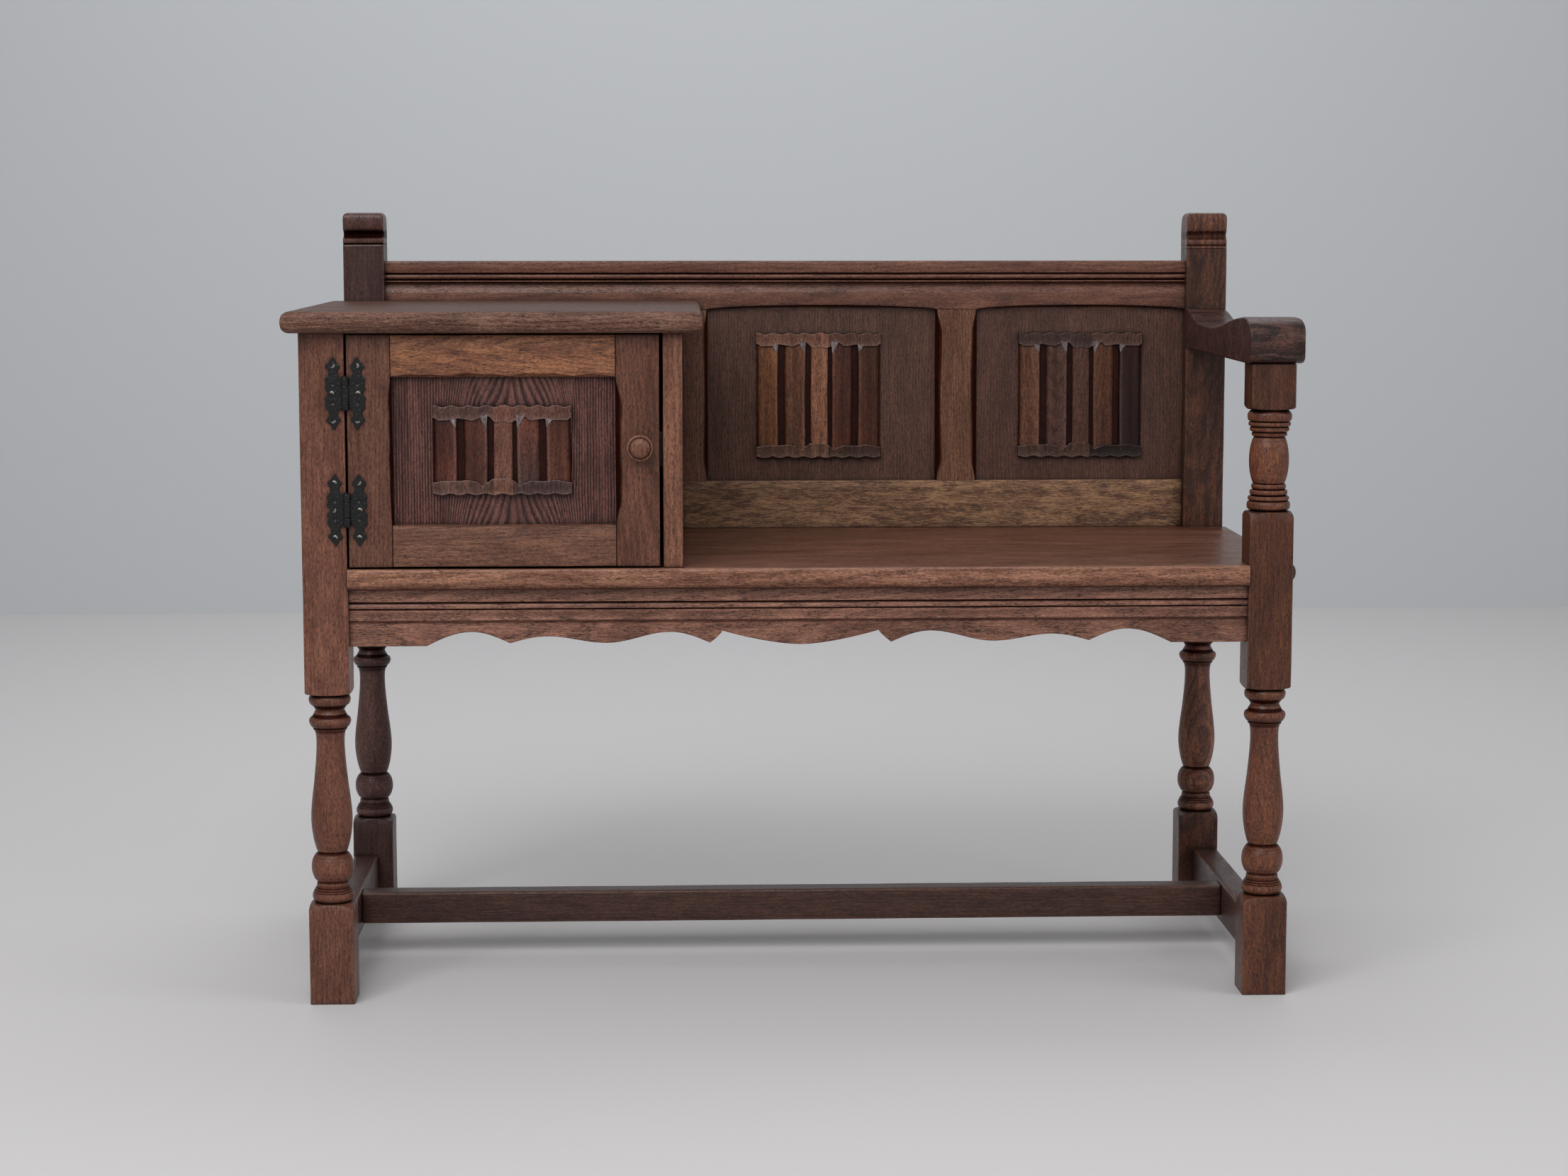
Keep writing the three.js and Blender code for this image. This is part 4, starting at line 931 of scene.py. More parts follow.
# How deep a band is, in mm, at each share of its width
TOP_BAND_BY_SHARE = (
    (0, 13.6), (0.045, 16.7), (0.1, 16.4), (0.19, 14.4), (0.215, 15.2), (0.29, 16.7),
    (0.33, 15), (0.37, 10.4), (0.4, 12.5), (0.46, 19.1), (0.505, 17.6), (0.56, 19.1),
    (0.6, 17), (0.64, 11), (0.665, 13), (0.706, 16.7), (0.8, 15), (0.88, 16.4),
    (0.97, 16.4), (1, 13.6),
)
BOTTOM_BAND_BY_SHARE = (
    (0, 13.6), (0.08, 15.2), (0.19, 15.2), (0.258, 16), (0.31, 14.5), (0.36, 10.4),
    (0.39, 13.6), (0.437, 17.5), (0.56, 17.9), (0.585, 15), (0.622, 10.4), (0.66, 13),
    (0.706, 15.2), (0.8, 14.6), (0.886, 16), (0.986, 13.6), (1, 13.2),
)
# A band is made of three stretches, and its middle one stands out further
BAND_PART_SHARES = ((0, 0.434), (0.434, 0.58), (0.58, 1))


def between(points, at):
    """A smooth line through (place, value) points."""
    for (a, from_value), (b, to_value) in zip(points, points[1:]):
        if at <= b:
            share = max(0, (at - a) / (b - a))
            return from_value + (to_value - from_value) * share * share * (3 - 2 * share)
    return points[-1][1]


def fold(x, back, bottom, top, section):
    """One upright fold, with its section given from left to right."""
    rings = []
    for level in (bottom, bottom + 3, (bottom + top) / 2, top - 3, top):
        sway = 0.35 * math.sin(level / 17 + x[0])
        ring = [(x[0] + (x[1] - x[0]) * share + sway * out, back - FOLD_RELIEF * out, level,
                 stain_and_shade) for share, out, stain_and_shade in section]
        ring += [(x[1], back, level, 1), (x[0], back, level, 1)]
        rings.append(ring)
    return loft(rings)


def facet(ridge, inward, back, top, wide, tall):
    """A small triangle at the top of a fold's ridge, pointing down."""
    face = [(ridge - 0.5 * inward, top), (ridge - wide * inward, top),
            (ridge - 1.6 * inward, top - tall)]
    return loft([[(x, back, z) for x, z in face],
                 [(x, back - FOLD_RELIEF - 0.45, z) for x, z in face]])


def band(x, part, back, low_edge, high_edge, relief):
    """A stretch of a band with wavy edges, whose heights are functions of its share."""
    rings = []
    steps = max(12, round((part[1] - part[0]) * 150))
    for i in range(steps + 1):
        share = part[0] + (part[1] - part[0]) * i / steps
        place = x[0] + (x[1] - x[0]) * share
        low, high = low_edge(share), high_edge(share)
        front = back - relief
        # The band's feet are painted dark, stain with its contact shade, and its rims pale as
        # painted highlights
        rings.append([
            (place, back, low, 1), (place, front + 1.2, low, 1),
            (place, front + 0.3, low + 0.3, 0), (place, front, low + 1, -0.5),
            (place, front + 0.2, low + 2, 0), (place, front + 0.6, (low + high) / 2, 0.2),
            (place, front + 0.2, high - 2, 0), (place, front, high - 1, -0.3),
            (place, front + 0.3, high - 0.3, 0.2), (place, front + 1.2, high, 1),
            (place, back, high, 1)])
    return loft(rings)


def linenfold(node, shade, fold_tones, top_tones, bottom_tones):
    x, y, z = span(node)
    wide, back = x[1] - x[0], y[1]
    # The ground between the folds is painted dark: stain, and the shade in the gaps
    ground = [(*point, level, 0.6) for level in (z[0] + 4, z[1] - 4) for point in square_ring(
        (x[0] + 0.6, x[1] - 0.6), (back - PLATE, back), 0.4, 4)]
    half = len(ground) // 2
    shells = [loft([ground[:half], ground[half:]])]
    tones = [("#4a241a",)]
    for i, (low, high) in enumerate(FOLD_EDGE_SHARES):
        section = EVEN_FOLD_SHARES
        if i < 2:
            section = SLANTED_FOLD_SHARES
        if i > 2:
            section = [(1 - share, out, stain_and_shade)
                       for share, out, stain_and_shade in reversed(SLANTED_FOLD_SHARES)]
        edges = (x[0] + low * wide, x[0] + high * wide)
        shells.append(fold(edges, back, z[0] + 8, z[1] - 8, section))
        tones.append(fold_tones[i])
        if i != 2:
            ridge, inward = (edges[1], 1) if i < 2 else (edges[0], -1)
            near = i in (1, 3)
            shells.append(facet(ridge, inward, back, z[1] - (11 if near else 14.5),
                                9 if near else 8, 14 if near else 9))
            # The facet's pale grey tone is a painted reflection
            tones.append(("#8d8486",))
    for part, top_tone, bottom_tone in zip(BAND_PART_SHARES, top_tones, bottom_tones):
        relief = BAND_RELIEF if part == BAND_PART_SHARES[1] else SIDE_BAND_RELIEF
        shells.append(band(x, part, back,
                           lambda s: z[1] - between(TOP_BAND_BY_SHARE, s),
                           lambda s: z[1] - 1.3 + 1.1 * math.sin(50 * s + 1), relief))
        tones.append((top_tone,))
        shells.append(band(x, part, back,
                           lambda s: z[0] + 1.7 * abs(math.cos(25 * s)) ** 2.4,
                           lambda s: z[0] + between(BOTTOM_BAND_BY_SHARE, s), relief))
        tones.append((bottom_tone,))
    oak_piece(node, "oak_carvings", shells, shade, crease=32, waver=0.3, tones=tones)


CARVED_GRAIN = ("#8f8884", "#cfc8c2", "#ffffff")
linenfold("back_carving_middle", stained_oak(
    "carved oak of the middle carving", "z", *CARVED_GRAIN, heart=(40, 260, 600), ring=3.2,
    fleck=0.3, mottle=0.6, wear_and_highlight="#8a6a58", corners=0.5, toned=True),
    (("#865735", "#966241"), ("#754e3a", "#8a5a42"), ("#ae755a", "#9c6c50"),
     ("#6e3b29", "#5c3427"), ("#653825", "#512c1c")),
    ("#896150", "#996955", "#6c483b"), ("#755446", "#8d6755", "#5a4036"))
linenfold("back_carving_right", stained_oak(
    "carved oak of the right carving", "z", *CARVED_GRAIN, heart=(330, 250, 620), ring=4,
    tilt=0.2, fleck=0.2, mottle=0.6, wear_and_highlight="#7c6258", corners=0.5, toned=True),
    (("#845742", "#835840"), ("#704c44", "#6c4a3e"), ("#734b3f", "#623f36"),
     ("#6b412f", "#774b31"), ("#2c130d", "#41201a")),
    ("#584038", "#4e3733", "#65463c"), ("#644a40", "#6f5245", "#302320"))


# Cabinet ends
# A board between the left posts, and the partition that stands on the seat and carries the
# right end of the writing top. The partition is the lighter one.

for node, tones, heart in (
        ("cabinet_side_left", ("#3a241d", "#5c3b30", "#7a5240"), (-430, 60, 560)),
        ("cabinet_partition", ("#482a1f", "#764c3c", "#92634b"), (-100, -180, 500))):
    oak_piece(node, "oak_frame", [board(node, 1.6, "z")],
              node_oak(node, "z", *tones, heart=heart, pores=0.7))


# Writing top
# A thick board with a rounded nose along its front and both ends, greyed by wear along its
# length. It is one closed skin, built up in level slices.

top_x, top_y, top_z = span("desk_top")
back_left_x = span("back_left_post")[0]
NOSE_DEPTH = 8
DESK_CORNER = 3.0
# The face above this share of the board's thickness is made darker
DESK_FACE_SHARE = 0.97
DESK_FACE_DARKENING = 0.4
# Heights of the slices, closer where the nose turns faster
DESK_LEVEL_SHARES = (
    0, 0.015, 0.05, 0.1, 0.17, 0.26, 0.38, 0.5, 0.62, 0.74, 0.83, 0.9, 0.95, 0.985, 1)


def nose_inset(level):
    """How far the nose draws back at a level, from 0 at the board's underside to 1."""
    return NOSE_DEPTH * (1 - (1 - abs(2 * level - 1) ** 2.6) ** 0.55)


def desk_ring(level):
    inset = nose_inset(level)
    left, right, front = top_x[0] + inset, top_x[1] - inset, top_y[0] + inset
    ring = [(x, front) for x in evenly(left, right, 40)[1:40]]
    ring += [(right - DESK_CORNER, front), (right - 0.9, front + 0.9),
             (right, front + DESK_CORNER)]
    ring += [(right, y) for y in evenly(front, rail_front, 30)[2:30]]
    ring += [(right, rail_front), (back_left_x[1], rail_front),
             (back_left_x[1], back_post_front), (left, back_post_front)]
    ring += [(left, y) for y in evenly(back_post_front, front, 30)[1:29]]
    ring += [(left, front + DESK_CORNER), (left + 0.9, front + 0.9),
             (left + DESK_CORNER, front)]
    height = top_z[0] + (top_z[1] - top_z[0]) * level
    stain_and_shade = DESK_FACE_DARKENING if level > DESK_FACE_SHARE else 0
    return [(*point, height, stain_and_shade) for point in ring]


oak_piece("desk_top", "oak_writing_top", [loft([desk_ring(level) for level in DESK_LEVEL_SHARES])],
          stained_oak("oak of the writing top", "x", "#3e2820", "#6b4b41", "#8c6b5a",
                      heart=(-300, -190, 640), ring=4.6, tilt=0.03, rough=0.4, gloss=0.1,
                      mottle=0.4), waver=0.15)


# Door frame
# Two stiles and two rails. Their inner edges were pared with a gouge to a bevel that
# wanders, widest on the latch stile. The bevel is painted dark, stain with painted shade,
# less so on the rails.

door_panel_x, _, door_panel_z = span("door_panel")


def framed_board(node, along, inner, bevel, wander, phase):
    """A stile or rail with one wandering bevel on its inner front edge.

    along is the axis it runs on, and inner is 1 if the opening lies beyond its higher
    edge and -1 if beyond its lower one."""
    spans = span(node)
    axis = "xyz".index(along)
    other = 2 - axis
    y = spans[1]
    low, high = spans[axis]
    opening = (door_panel_x, None, door_panel_z)[axis]
    inside, outside = spans[other] if inner < 0 else spans[other][::-1]
    bevel_stain_and_shade = 1 if along == "z" else 0.25
    rings = []
    levels = evenly(low, high, round((high - low) / 2.5))
    for level in levels:
        soft = 0.7 if level in (levels[0], levels[-1]) else 0
        sway = math.sin(level / 11 + phase) + 0.6 * math.sin(level / 5 + 2 * phase)
        cut = 0.7 + (bevel + wander * sway) * run_out(level, opening)
        deep = min(6, 1.5 + cut)
        rings.append([])
        for across, depth, stain_and_shade in (
                (outside, y[1] - soft, 0), (outside, y[0] + 1.1, 0.6),
                (outside + inner * 0.35, y[0] + 0.3 + soft * 0.5, 0.3),
                (outside + inner * 1.3, y[0] + soft, 0),
                (inside - inner * (cut + 1), y[0] + soft, 0),
                (inside - inner * cut, y[0] + 0.3 + soft, bevel_stain_and_shade * 0.6),
                (inside - inner * cut * 0.6, y[0] + deep * 0.6, bevel_stain_and_shade),
                (inside, y[0] + deep, bevel_stain_and_shade), (inside, y[1] - soft, bevel_stain_and_shade)):
            point = [0, depth, 0, stain_and_shade]
            point[axis], point[other] = level, across
            rings[-1].append(tuple(point))
    return loft(rings)


for node, along, inner, bevel, wander, phase, tones, heart, tilt in (
        ("door_stile_hinge", "z", 1, 1.5, 0.3, 0.5, ("#3f241b", "#613e32", "#764f3e"),
         (-470, -150, 600), 0.02),
        ("door_stile_latch", "z", -1, 5.4, 0.5, 2.0, ("#3c2219", "#603c2d", "#784c3c"),
         (-120, -150, 560), 0.03),
        ("door_rail_top", "x", -1, 2.2, 1.0, 0.2, ("#4f2c20", "#84563f", "#ac7550"),
         (-290, -186, 668), 0.12),
        ("door_rail_bottom", "x", 1, 1.2, 0.4, 1.4, ("#482a21", "#6e4a3b", "#8b614b"),
         (-200, -180, 440), 0.04)):
    shade = node_oak(node, along, *tones, heart=heart, tilt=tilt,
                     ring=4.4 if node == "door_rail_top" else 3.2)
    oak_piece(node, "oak_door", [framed_board(node, along, inner, bevel, wander, phase)], shade)


# Door panel and its carving
# The panel is brushed down harder than those of the back, so that its year rings stand out
# as furrows, which fan out above and below the carving. The carving is glued on.

FAN_MIDDLE = -291
FAN_RING = 6.2
FAN_REACH = 42
SIDE_RING = 3.0
carving_z = span("door_carving")[2]


def straight(points, at):
    """The value at a place on a line drawn through points."""
    for (a, from_value), (b, to_value) in zip(points, points[1:]):
        if at <= b:
            return from_value + (to_value - from_value) * (at - a) / (b - a)
    return points[-1][1]


def fanned_years(x, z):
    """The count of year rings on the door's panel, where they part about its middle."""
    falls = ((door_panel_z[0], 30), (carving_z[0], 0), (carving_z[1], 30), (door_panel_z[1], 0))
    away = abs(x - FAN_MIDDLE)
    away -= 0.42 * straight(falls, z) * math.exp(-((away - 32) / 26) ** 2)
    years = min(away, FAN_REACH) / FAN_RING + max(away - FAN_REACH, 0) / SIDE_RING
    return years + 0.35 * noise.noise(Vector((x / 30, z / 45, 5)))


oak_piece("door_panel", "oak_door", [brushed_panel("door_panel", fanned_years, 0.7)],
          stained_oak("brushed oak of the door panel", "z", "#2d1815", "#643c35", "#7b5048",
                      heart=(-291, -100, 575), bands=1, pores=0.7, relief=0.2, rough=0.48,
                      counted_years=True), waver=0.1)
linenfold("door_carving", stained_oak(
    "carved oak of the door", "z", *CARVED_GRAIN, heart=(-303, -150, 570), ring=3.6,
    tilt=0.1, pores=0.6, mottle=0.6, wear_and_highlight="#8a6e66", corners=0.5, toned=True),
    (("#6c3a2c", "#532d26"), ("#60362b", "#6f4035"), ("#86594a", "#7c5144"),
     ("#5f4540", "#7c4736"), ("#734431", "#62362a")),
    ("#694a43", "#86594b", "#765144"), ("#6f4f44", "#8e6352", "#58403c"))


# Knob
# A turned knob with a ring, a groove and a low dome, polished by hands.

KNOB_SHARES = (
    (0, 0.66), (0.2, 0.66), (0.36, 0.68), (0.42, 0.8), (0.47, 0.92), (0.54, 0.99), (0.61, 1),
    (0.67, 0.985), (0.71, 0.94), (0.73, 0.88), (0.735, 0.83), (0.69, 0.8), (0.685, 0.77),
    (0.73, 0.75), (0.8, 0.735), (0.87, 0.68), (0.93, 0.57), (0.97, 0.42), (0.99, 0.25),
    (1, 0.03),
)


def spun(node, axis, run, profile, sides):
    """The skin of a CAD node that is round about an axis, from its profile's shares of the
    run along it and of the radius."""
    spans = span(node)
    first, second = [i for i in range(3) if i != axis]
    radius = (spans[first][1] - spans[first][0]) / 2
    rings = []
    for out, wide in profile:
        rings.append([])
        for i in range(sides):
            turn = 2 * math.pi * i / sides
            point = [run[0] + (run[1] - run[0]) * out] * 3
            point[first] = middle(spans[first]) + radius * wide * math.cos(turn)
            point[second] = middle(spans[second]) + radius * wide * math.sin(turn)
            rings[-1].append(tuple(point))
    return loft(rings)


oak_piece("door_knob", "oak_door", [
    spun("door_knob", 1, span("door_knob")[1][::-1], KNOB_SHARES, TURNED_SIDES)], stained_oak(
        "polished oak of the knob", "z", "#4a2c20", "#6e4636", "#8a5d49",
        heart=(-175, -200, 560), ring=3, pores=0.6, rough=0.38), waver=0.0)


# Hinges
# Pairs of cast iron leaves on one pin, hammered all over and painted black. The hammer's
# marks are round dimples about 3 mm across, pressed into the mesh, and the paint is satin.


def speckled(name, size, detail, dark, light, spread=(0, 1), bump=0, high=0, rough=0.5,
             **values):
    """A finish in two tones, speckled with marks of so many mm. spread is the part of the
    noise that runs from the dark tone to the light one. bump and high are the strength and
    height in m of its grain, and rough may run from one roughness to another."""
    material, tree = new_material(name)
    grit = add_node(tree, "ShaderNodeTexNoise", {
        "Vector": add_node(tree, "ShaderNodeTexCoord").outputs["Object"],
        "Scale": 1000 / size, "Detail": detail}).outputs[0]
    share = add_node(tree, "ShaderNodeMapRange", {
        "Value": grit, 1: spread[0], 2: spread[1]}).outputs[0]
    values["Base Color"] = add_node(tree, "ShaderNodeMix", {
        0: share, 6: colour(dark), 7: colour(light)}, data_type="RGBA").outputs[2]
    if bump:
        values["Normal"] = add_node(tree, "ShaderNodeBump", {
            "Height": grit, "Strength": bump, "Distance": high}).outputs[0]
    if isinstance(rough, tuple):
        rough = add_node(tree, "ShaderNodeMapRange", {
            "Value": grit, 1: 0.3, 2: 0.7, 3: rough[0], 4: rough[1]}).outputs[0]
    shader = add_node(tree, "ShaderNodeBsdfPrincipled", {"Roughness": rough, **values})
    add_node(tree, "ShaderNodeOutputMaterial", {"Surface": shader.outputs[0]})
    return material


hammered_iron = speckled("hammered iron, painted black", 1.2, 2, "#0a0a0a", "#191a1a",
                         spread=(0.35, 0.8), bump=0.5, high=0.0002, rough=0.36,
                         **{"Specular IOR Level": 0.32})

# Half of a leaf's outline, from the notch in its outer edge up to its tip and back to the
# barrel, as shares of its width from the barrel side and of its height
LEAF_SHARES = (
    (0.82, 0), (0.84, 0.024), (0.91, 0.04), (1, 0.048), (0.98, 0.085), (0.92, 0.13),
    (0.98, 0.16), (0.99, 0.2), (0.86, 0.22), (0.76, 0.248), (0.75, 0.29), (0.82, 0.328),
    (1, 0.362), (0.83, 0.402), (0.67, 0.428), (0.57, 0.475), (0.47, 0.5), (0.38, 0.475),
    (0.29, 0.428), (0.17, 0.395), (0, 0.36), (0.14, 0.335), (0.22, 0.3), (0.21, 0.25),
    (0.11, 0.215), (-0.06, 0.205),
)
LEAF_THICKNESS = 2
LEAF_TO_AXIS = 4.25
PIN_HEAD = 1.6
BORE_RADIUS = 2
KNUCKLE_GAP = 0.15
CASTING_STEP = 0.5
DENT_WIDTH = 3.2
DENT_DEPTH = 0.3
DENT_SHARE = 0.55
# Two empty screw holes in each leaf, filled with paint: height, radius and depth
OLD_HOLES = ((9.4, 2.1, 0.9), (-9.4, 2.1, 0.9))
# Where the knuckles lie on the pin, as shares of the barrel from its middle
POST_KNUCKLE_SHARES = ((-0.5, -0.25), (0.25, 0.5))
DOOR_KNUCKLE_SHARES = ((-0.25, 0.25),)


def rounded(outline):
    """A closed outline with its corners cut off twice, which rounds them."""
    for _ in range(2):
        outline = [tuple(a[i] * near + b[i] * (1 - near) for i in (0, 1))
                   for a, b in zip(outline, outline[1:] + outline[:1]) for near in (0.75, 0.25)]
    return outline


def tube(x, y, low, high, outer, inner):
    """A tube round an upright axis."""
    points = []
    for radius, level in ((outer, low), (outer, high), (inner, high), (inner, low)):
        for i in range(24):
            turn = math.radians(15 * i)
            points.append((x + radius * math.cos(turn), y + radius * math.sin(turn), level))
    faces = []
    for i in range(4):
        for j in range(24):
            k = (j + 1) % 24
            above = (i + 1) % 4
            faces.append([24 * i + j, 24 * i + k, 24 * above + k, 24 * above + j])
    return points, faces


def hinge_leaf(node, pin, direction, knuckle_shares):
    """A leaf cast with its knuckles. direction is the side of the pin that it lies on."""
    x, y, z = span(node)
    pin_x, pin_y, pin_z = span(pin)
    axis_x, axis_y = middle(pin_x), middle(pin_y)
    near = axis_x + direction * LEAF_TO_AXIS
    height, centre = z[1] - z[0], middle(z)
    width = (x[1] if direction > 0 else -x[0]) - direction * near
    shares = [*LEAF_SHARES] + [(across, -up) for across, up in reversed(LEAF_SHARES[1:])]
    outline = rounded([(near + direction * across * width, centre + up * height)
                       for across, up in shares])
    face = y[1] - LEAF_THICKNESS
    shells = [loft([[(a, level, b) for a, b in outline] for level in (y[1], face)])]
    barrel = pin_z[1] - pin_z[0] - 2 * PIN_HEAD
    for low, high in knuckle_shares:
        low, high = centre + barrel * low + KNUCKLE_GAP, centre + barrel * high - KNUCKLE_GAP
        shells.append(tube(axis_x, axis_y, low, high, axis_y - y[0], BORE_RADIUS))
        web = sorted((near + direction, axis_x + direction * (BORE_RADIUS + 0.6)))
        shells.append(loft([[(*point, level) for point in square_ring(
            web, (face, y[1]), 0.2, 2)] for level in (low, high)]))
    casting = wood_piece("casting", shells, hammered_iron, waver=0)
    remesh = casting.modifiers.new("one casting", "REMESH")
    remesh.mode = "VOXEL"
    remesh.voxel_size = CASTING_STEP / 1000
    remesh.use_smooth_shade = True
    softened = casting.modifiers.new("softened", "SMOOTH")
    softened.iterations = 2
    mesh = plain_mesh(casting)
    moves = []
    for vertex in mesh.vertices:
        at = vertex.co * 1000
        push = 0
        if vertex.normal.y < -0.5:
            cell = noise.voronoi(at / DENT_WIDTH)[0][0]
            push = DENT_DEPTH * max(0, 1 - (cell / DENT_SHARE) ** 2)
            for level, radius, depth in OLD_HOLES:
                far = math.hypot(at.x - near - direction * width / 2, at.z - centre - level)
                push += depth * max(0, 1 - (far / radius) ** 4)
        moves.append(vertex.normal * push / 1000)
    for vertex, move in zip(mesh.vertices, moves):
        vertex.co -= move
    mesh.materials.clear()
    mesh.materials.append(hammered_iron)
    stands_for(in_scene(node + "_iron", mesh), "black_iron", node)


for hinge in ("upper_hinge", "lower_hinge"):
    hinge_leaf(hinge + "_post_leaf", hinge + "_pin", -1, POST_KNUCKLE_SHARES)
    hinge_leaf(hinge + "_door_leaf", hinge + "_pin", 1, DOOR_KNUCKLE_SHARES)
    pin = frame["nodes"][hinge + "_pin"]
    pin.data.materials.clear()
    pin.data.materials.append(hammered_iron)
    weld = pin.modifiers.new("joined faces", "WELD")
    weld.merge_threshold = 0.00001
    eased = pin.modifiers.new("eased edges", "BEVEL")
    eased.width = 0.0004
    eased.segments = 2
    eased.limit_method = "ANGLE"
    eased.angle_limit = math.radians(30)


# Hinge screws
# Zinc plated pan head screws with a cross recess, three in each leaf. One screw is made
# and set at each place by nodes, each turned a different way.

zinc = speckled("zinc plated steel", 0.8, 3, "#6b6964", "#a6a39c", rough=(0.34, 0.55),
                Metallic=0.85)

HEAD_RADIUS = 2.8
HEAD_HEIGHT = 1.6
# The head's section: shares of its radius and of its height
HEAD_SHARES = ((0.97, -0.05), (1, 0.08), (0.98, 0.4), (0.87, 0.72), (0.7, 0.92), (0.58, 0.99))
SHANK_RADIUS = 1.5
SHANK_LENGTH = 11.5
TIP_RADIUS = 0.77
TIP_LENGTH = 1.5
# Half the length of the recess's arms, and half their width
RECESS = 1.5
RECESS_ARM = 0.38
screw_places, given = new_group("hinge screws", (
    ("Places", "Geometry", None), ("Screw", "Object", None), ("Turn seed", "Int", 1),
    ("Material", "Material", None)), "Screws")
turn = add_node(screw_places, "FunctionNodeRandomValue", {
    2: 0.0, 3: 3.14, "Seed": given["Turn seed"]}, data_type="FLOAT").outputs[1]
turn = add_node(screw_places, "ShaderNodeCombineXYZ", {"Y": turn}).outputs[0]
finish_group(screw_places, given, add_node(screw_places, "GeometryNodeInstanceOnPoints", {
    "Points": given["Places"],
    "Instance": add_node(screw_places, "GeometryNodeObjectInfo", {
        "Object": given["Screw"], "As Instance": True}).outputs["Geometry"],
    "Rotation": add_node(screw_places, "FunctionNodeEulerToRotation", {0: turn}).outputs[0],
}).outputs[0])


def screw_mesh():
    """A pan head with a cross recess, on a plain shank, along Y with its seat at 0."""
    arm, wide = RECESS, RECESS_ARM
    cross = [(wide, wide), (wide, arm), (-wide, arm), (-wide, wide), (-arm, wide),
             (-arm, -wide), (-wide, -wide), (-wide, -arm), (wide, -arm), (wide, -wide),
             (arm, -wide), (arm, wide)]
    turns = [math.atan2(b, a) for a, b in cross]

    def ring(radius, out):
        return [(radius * math.cos(t), -out, radius * math.sin(t)) for t in turns]

    shank = [ring(TIP_RADIUS, -SHANK_LENGTH), ring(SHANK_RADIUS, TIP_LENGTH - SHANK_LENGTH),
             ring(SHANK_RADIUS, -0.2)]
    head = [ring(HEAD_RADIUS * wide, HEAD_HEIGHT * high) for wide, high in HEAD_SHARES]
    rim = [[(a * wide, -HEAD_HEIGHT * high, b * wide) for a, b in cross]
           for wide, high in ((1, 1), (0.75, 0.35))]
    return loft(shank + head + rim)


screw = wood_piece("screw", [screw_mesh()], zinc, crease=50, waver=0.0)
for side, body, seed in (("post", "frame", 4), ("door", "door", 9)):
    names = ["hinge_screw_%s_%d" % (side, i) for i in range(1, 7)]
    seats = [(middle(x) / 1000, (y[0] + HEAD_HEIGHT) / 1000, middle(z) / 1000)
             for x, y, z in map(span, names)]
    screws = in_scene("hinge_screws_" + side, grown(screw_places, seats, [], {
        "Screw": screw, "Turn seed": seed, "Material": zinc}))
    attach(screws, body)
    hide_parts(*names)
bpy.data.objects.remove(screw)


# Catch
# A magnet in a black plastic case on the partition, and the steel plate that it holds, on
# the door. Both are plain boxes with rounded edges.

black_case = speckled("moulded black plastic", 0.7, 2, "#1b1b1c", "#29292a",
                      bump=0.3, high=0.0001, rough=0.5, IOR=1.46)
for node, finish, slot, easing in (("door_catch", black_case, "black_plastic", 1.2),
                                   ("door_strike", zinc, "zinc_steel", 0.4)):
    piece = wood_piece(node + "_made", [board(node, easing, "z", 6)], finish, waver=0.0)
    stands_for(piece, slot, node)


# Armrest
# Sawn from one thick piece: it dips behind the front post, rolls over its front end, and
# widens towards the front. Its grain runs across, and arms have polished it nearly black.

arm_x, arm_y, arm_z = span("armrest")
arm_back_x = span("back_right_post")[0]
# The top and underside by the share of the run from back to front
ARM_TOP_SHARES = (
    (0, 0.957), (0.037, 0.93), (0.073, 0.86), (0.122, 0.752), (0.195, 0.66), (0.29, 0.626),
    (0.415, 0.63), (0.561, 0.709), (0.685, 0.851), (0.756, 0.915), (0.82, 0.96), (0.89, 1),
    (0.941, 0.99), (0.956, 0.965), (0.971, 0.915), (0.982, 0.85), (0.99, 0.77),
    (0.996, 0.67), (1, 0.53),
)
ARM_UNDER_SHARES = (
    (0, 0), (0.955, 0), (0.97, 0.01), (0.98, 0.04), (0.988, 0.085), (0.994, 0.145),
    (0.998, 0.21), (1, 0.3),
)
# Slices of the arm by the same share, closer where it turns faster
ARM_STOP_SHARES = (
    0, 0.018, 0.037, 0.055, 0.073, 0.097, 0.122, 0.158, 0.195, 0.242, 0.29, 0.35, 0.415,
    0.49, 0.561, 0.62, 0.685, 0.72, 0.756, 0.79, 0.82, 0.855, 0.89, 0.915, 0.93, 0.941,
    0.949, 0.956, 0.963, 0.971, 0.977, 0.982, 0.986, 0.99, 0.993, 0.996, 0.998, 1)
ARM_EDGE = 5.5
ARM_LOW_EDGE = 3.0
ARM_LEFT_EDGE = 2
# The arm reaches its full width at this share of its run, and its end starts to round here
FULL_WIDTH_SHARE = 0.93
ARM_END_SHARE = 0.97
END_ROUNDING = 1.8


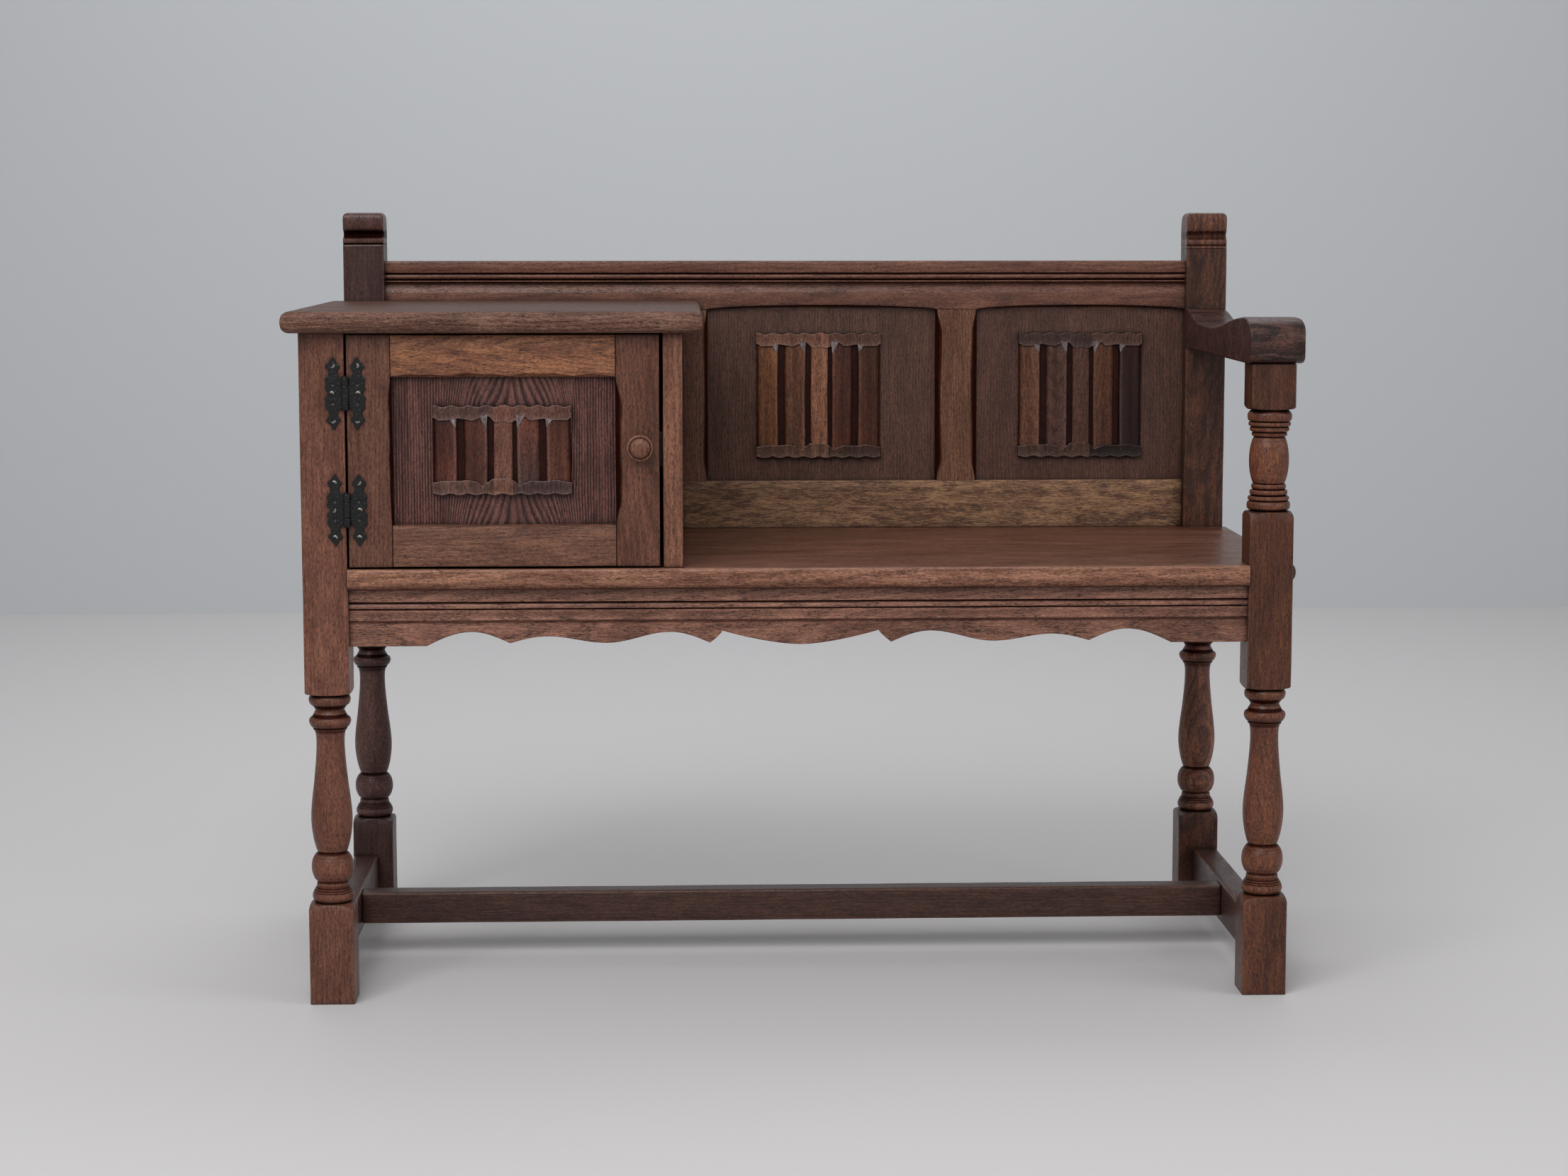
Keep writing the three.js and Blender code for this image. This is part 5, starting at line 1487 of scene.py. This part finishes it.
def arm_ring(share):
    y = arm_y[1] + (arm_y[0] - arm_y[1]) * share
    thick = arm_z[1] - arm_z[0]
    top = arm_z[0] + thick * straight(ARM_TOP_SHARES, share)
    under = arm_z[0] + thick * straight(ARM_UNDER_SHARES, share)
    widen = min(share / FULL_WIDTH_SHARE, 1)
    end = END_ROUNDING * max(0, (share - ARM_END_SHARE) / (1 - ARM_END_SHARE)) ** 2
    left = arm_back_x[0] + (arm_x[0] - arm_back_x[0]) * widen + end
    right = arm_back_x[1] + (arm_x[1] - arm_back_x[1]) * math.sin(math.pi / 2 * widen) - end
    edge = min(ARM_EDGE, (top - under) * 0.3)
    low = min(ARM_LOW_EDGE, (top - under) * 0.2)
    turns = [math.radians(15 * i) for i in range(7)]
    ring = [(right - edge + edge * math.cos(t), y, top - edge + edge * math.sin(t))
            for t in turns]
    ring += [(x, y, top) for x in evenly(right, left, 10)[2:9]]
    ring += [(left + ARM_LEFT_EDGE * (1 - math.cos(t)), y, top - ARM_LEFT_EDGE * (1 - math.sin(t)))
             for t in reversed(turns)]
    ring += [(left, y, under + 1.5), (left + 1.5, y, under)]
    ring += [(x, y, under) for x in evenly(left, right, 6)[1:6]]
    ring += [(right - low, y, under), (right - low * 0.3, y, under + low * 0.3),
             (right, y, under + low)]
    return ring


oak_piece("armrest", "oak_frame", [loft([arm_ring(share) for share in ARM_STOP_SHARES])],
          stained_oak("polished oak of the armrest", "x", "#150b0c", "#432a26", "#6b473c",
                      heart=(480, -120, 640), ring=5, bands=0.8, pores=0.6, rough=0.3,
                      mottle=0.5, figure=70), waver=0.2)


# Button
# A round dark button on the outer face of the right post.

BUTTON_SHARES = (
    (0, 0.97), (0.1, 1), (0.35, 0.98), (0.6, 0.86), (0.8, 0.66), (0.93, 0.4), (1, 0.04))
brown_case = speckled("moulded dark brown plastic", 0.7, 2, "#2a1a16", "#3a2620",
                      bump=0.3, high=0.0001, rough=0.5, IOR=1.46)
button = wood_piece("post_button_made", [
    spun("post_button", 0, span("post_button")[0], BUTTON_SHARES, 40)], brown_case, waver=0.0)
stands_for(button, "dark_button", "post_button")


# Studio
# A pale floor and a pale wall behind, neither part of the bench, with an even white
# surround and three soft lamps: over the front, at the right, and behind.

SURROUND_STRENGTH = 0.44
REACH = 9
WALL_BEHIND = 3
WALL_HEIGHT = 6
wall_foot = ((REACH, WALL_BEHIND, 0), (-REACH, WALL_BEHIND, 0))
for label, tone, corners in (
        ("pale floor", "#c6c4c5", ((-REACH, -REACH, 0), (REACH, -REACH, 0), *wall_foot)),
        ("pale wall", "#bcbfc2", (*wall_foot[::-1], (REACH, WALL_BEHIND, WALL_HEIGHT),
                                  (-REACH, WALL_BEHIND, WALL_HEIGHT)))):
    finish = bpy.data.materials.new(label)
    finish.use_nodes = True
    values = finish.node_tree.nodes["Principled BSDF"].inputs
    values["Base Color"].default_value = colour(tone)
    values["Roughness"].default_value = 0.8
    sheet = bpy.data.meshes.new(label)
    sheet.from_pydata(corners, [], [(0, 1, 2, 3)])
    sheet.materials.append(finish)
    panel = in_scene(label.replace(" ", "_"), sheet)

surround = bpy.data.worlds.new("white surround")
surround.use_nodes = True
values = surround.node_tree.nodes["Background"].inputs
values["Color"].default_value = (1, 1, 1, 1)
values["Strength"].default_value = SURROUND_STRENGTH
bpy.context.scene.world = surround


def stand(thing, place, ahead):
    """Sets a lamp or the camera at a place, looking along a direction."""
    thing.location = place
    thing.rotation_mode = "QUATERNION"
    thing.rotation_quaternion = ahead.to_track_quat("-Z", "Y")


for label, place, aim, size, power in (
        ("lamp over the front", (-0.9, -2.4, 2.7), (0, 0, 0.4), 2.2, 80),
        ("lamp at the right", (2.8, -1.6, 1.7), (0, 0, 0.4), 1.8, 21),
        ("lamp behind", (0, 1.6, 2.6), (0, 2.2, 0), 2.5, 28)):
    lamp = bpy.data.lights.new(label, "AREA")
    lamp.size = size
    lamp.energy = power
    stand(in_scene(label, lamp), place, Vector(aim) - Vector(place))


# Camera
# It stands where the photograph was taken: just over three metres in front of the bench,
# a little left of its middle, and looks slightly down. The frame is 2212 x 1659.

CAMERA_PLACE = (-0.1155, -3.3474, 0.8092)
CAMERA_YAW = 0.0412
CAMERA_PITCH = 0.1169
FOCAL_PIXELS = 4327.9
FRAME_WIDTH = 2212
OPTICAL_AXIS = (1143.2, 819.3)
FRAME_MIDDLE = (1106, 829.5)

lens = bpy.data.cameras.new("camera")
lens.sensor_width = 36
lens.lens = 36 * FOCAL_PIXELS / FRAME_WIDTH
lens.shift_x = (FRAME_MIDDLE[0] - OPTICAL_AXIS[0]) / FRAME_WIDTH
lens.shift_y = (OPTICAL_AXIS[1] - FRAME_MIDDLE[1]) / FRAME_WIDTH
camera = in_scene("camera", lens)
stand(camera, CAMERA_PLACE, Vector((
    math.sin(CAMERA_YAW) * math.cos(CAMERA_PITCH),
    math.cos(CAMERA_YAW) * math.cos(CAMERA_PITCH), -math.sin(CAMERA_PITCH))))
bpy.context.scene.camera = camera
bpy.context.scene.view_settings.view_transform = "Standard"
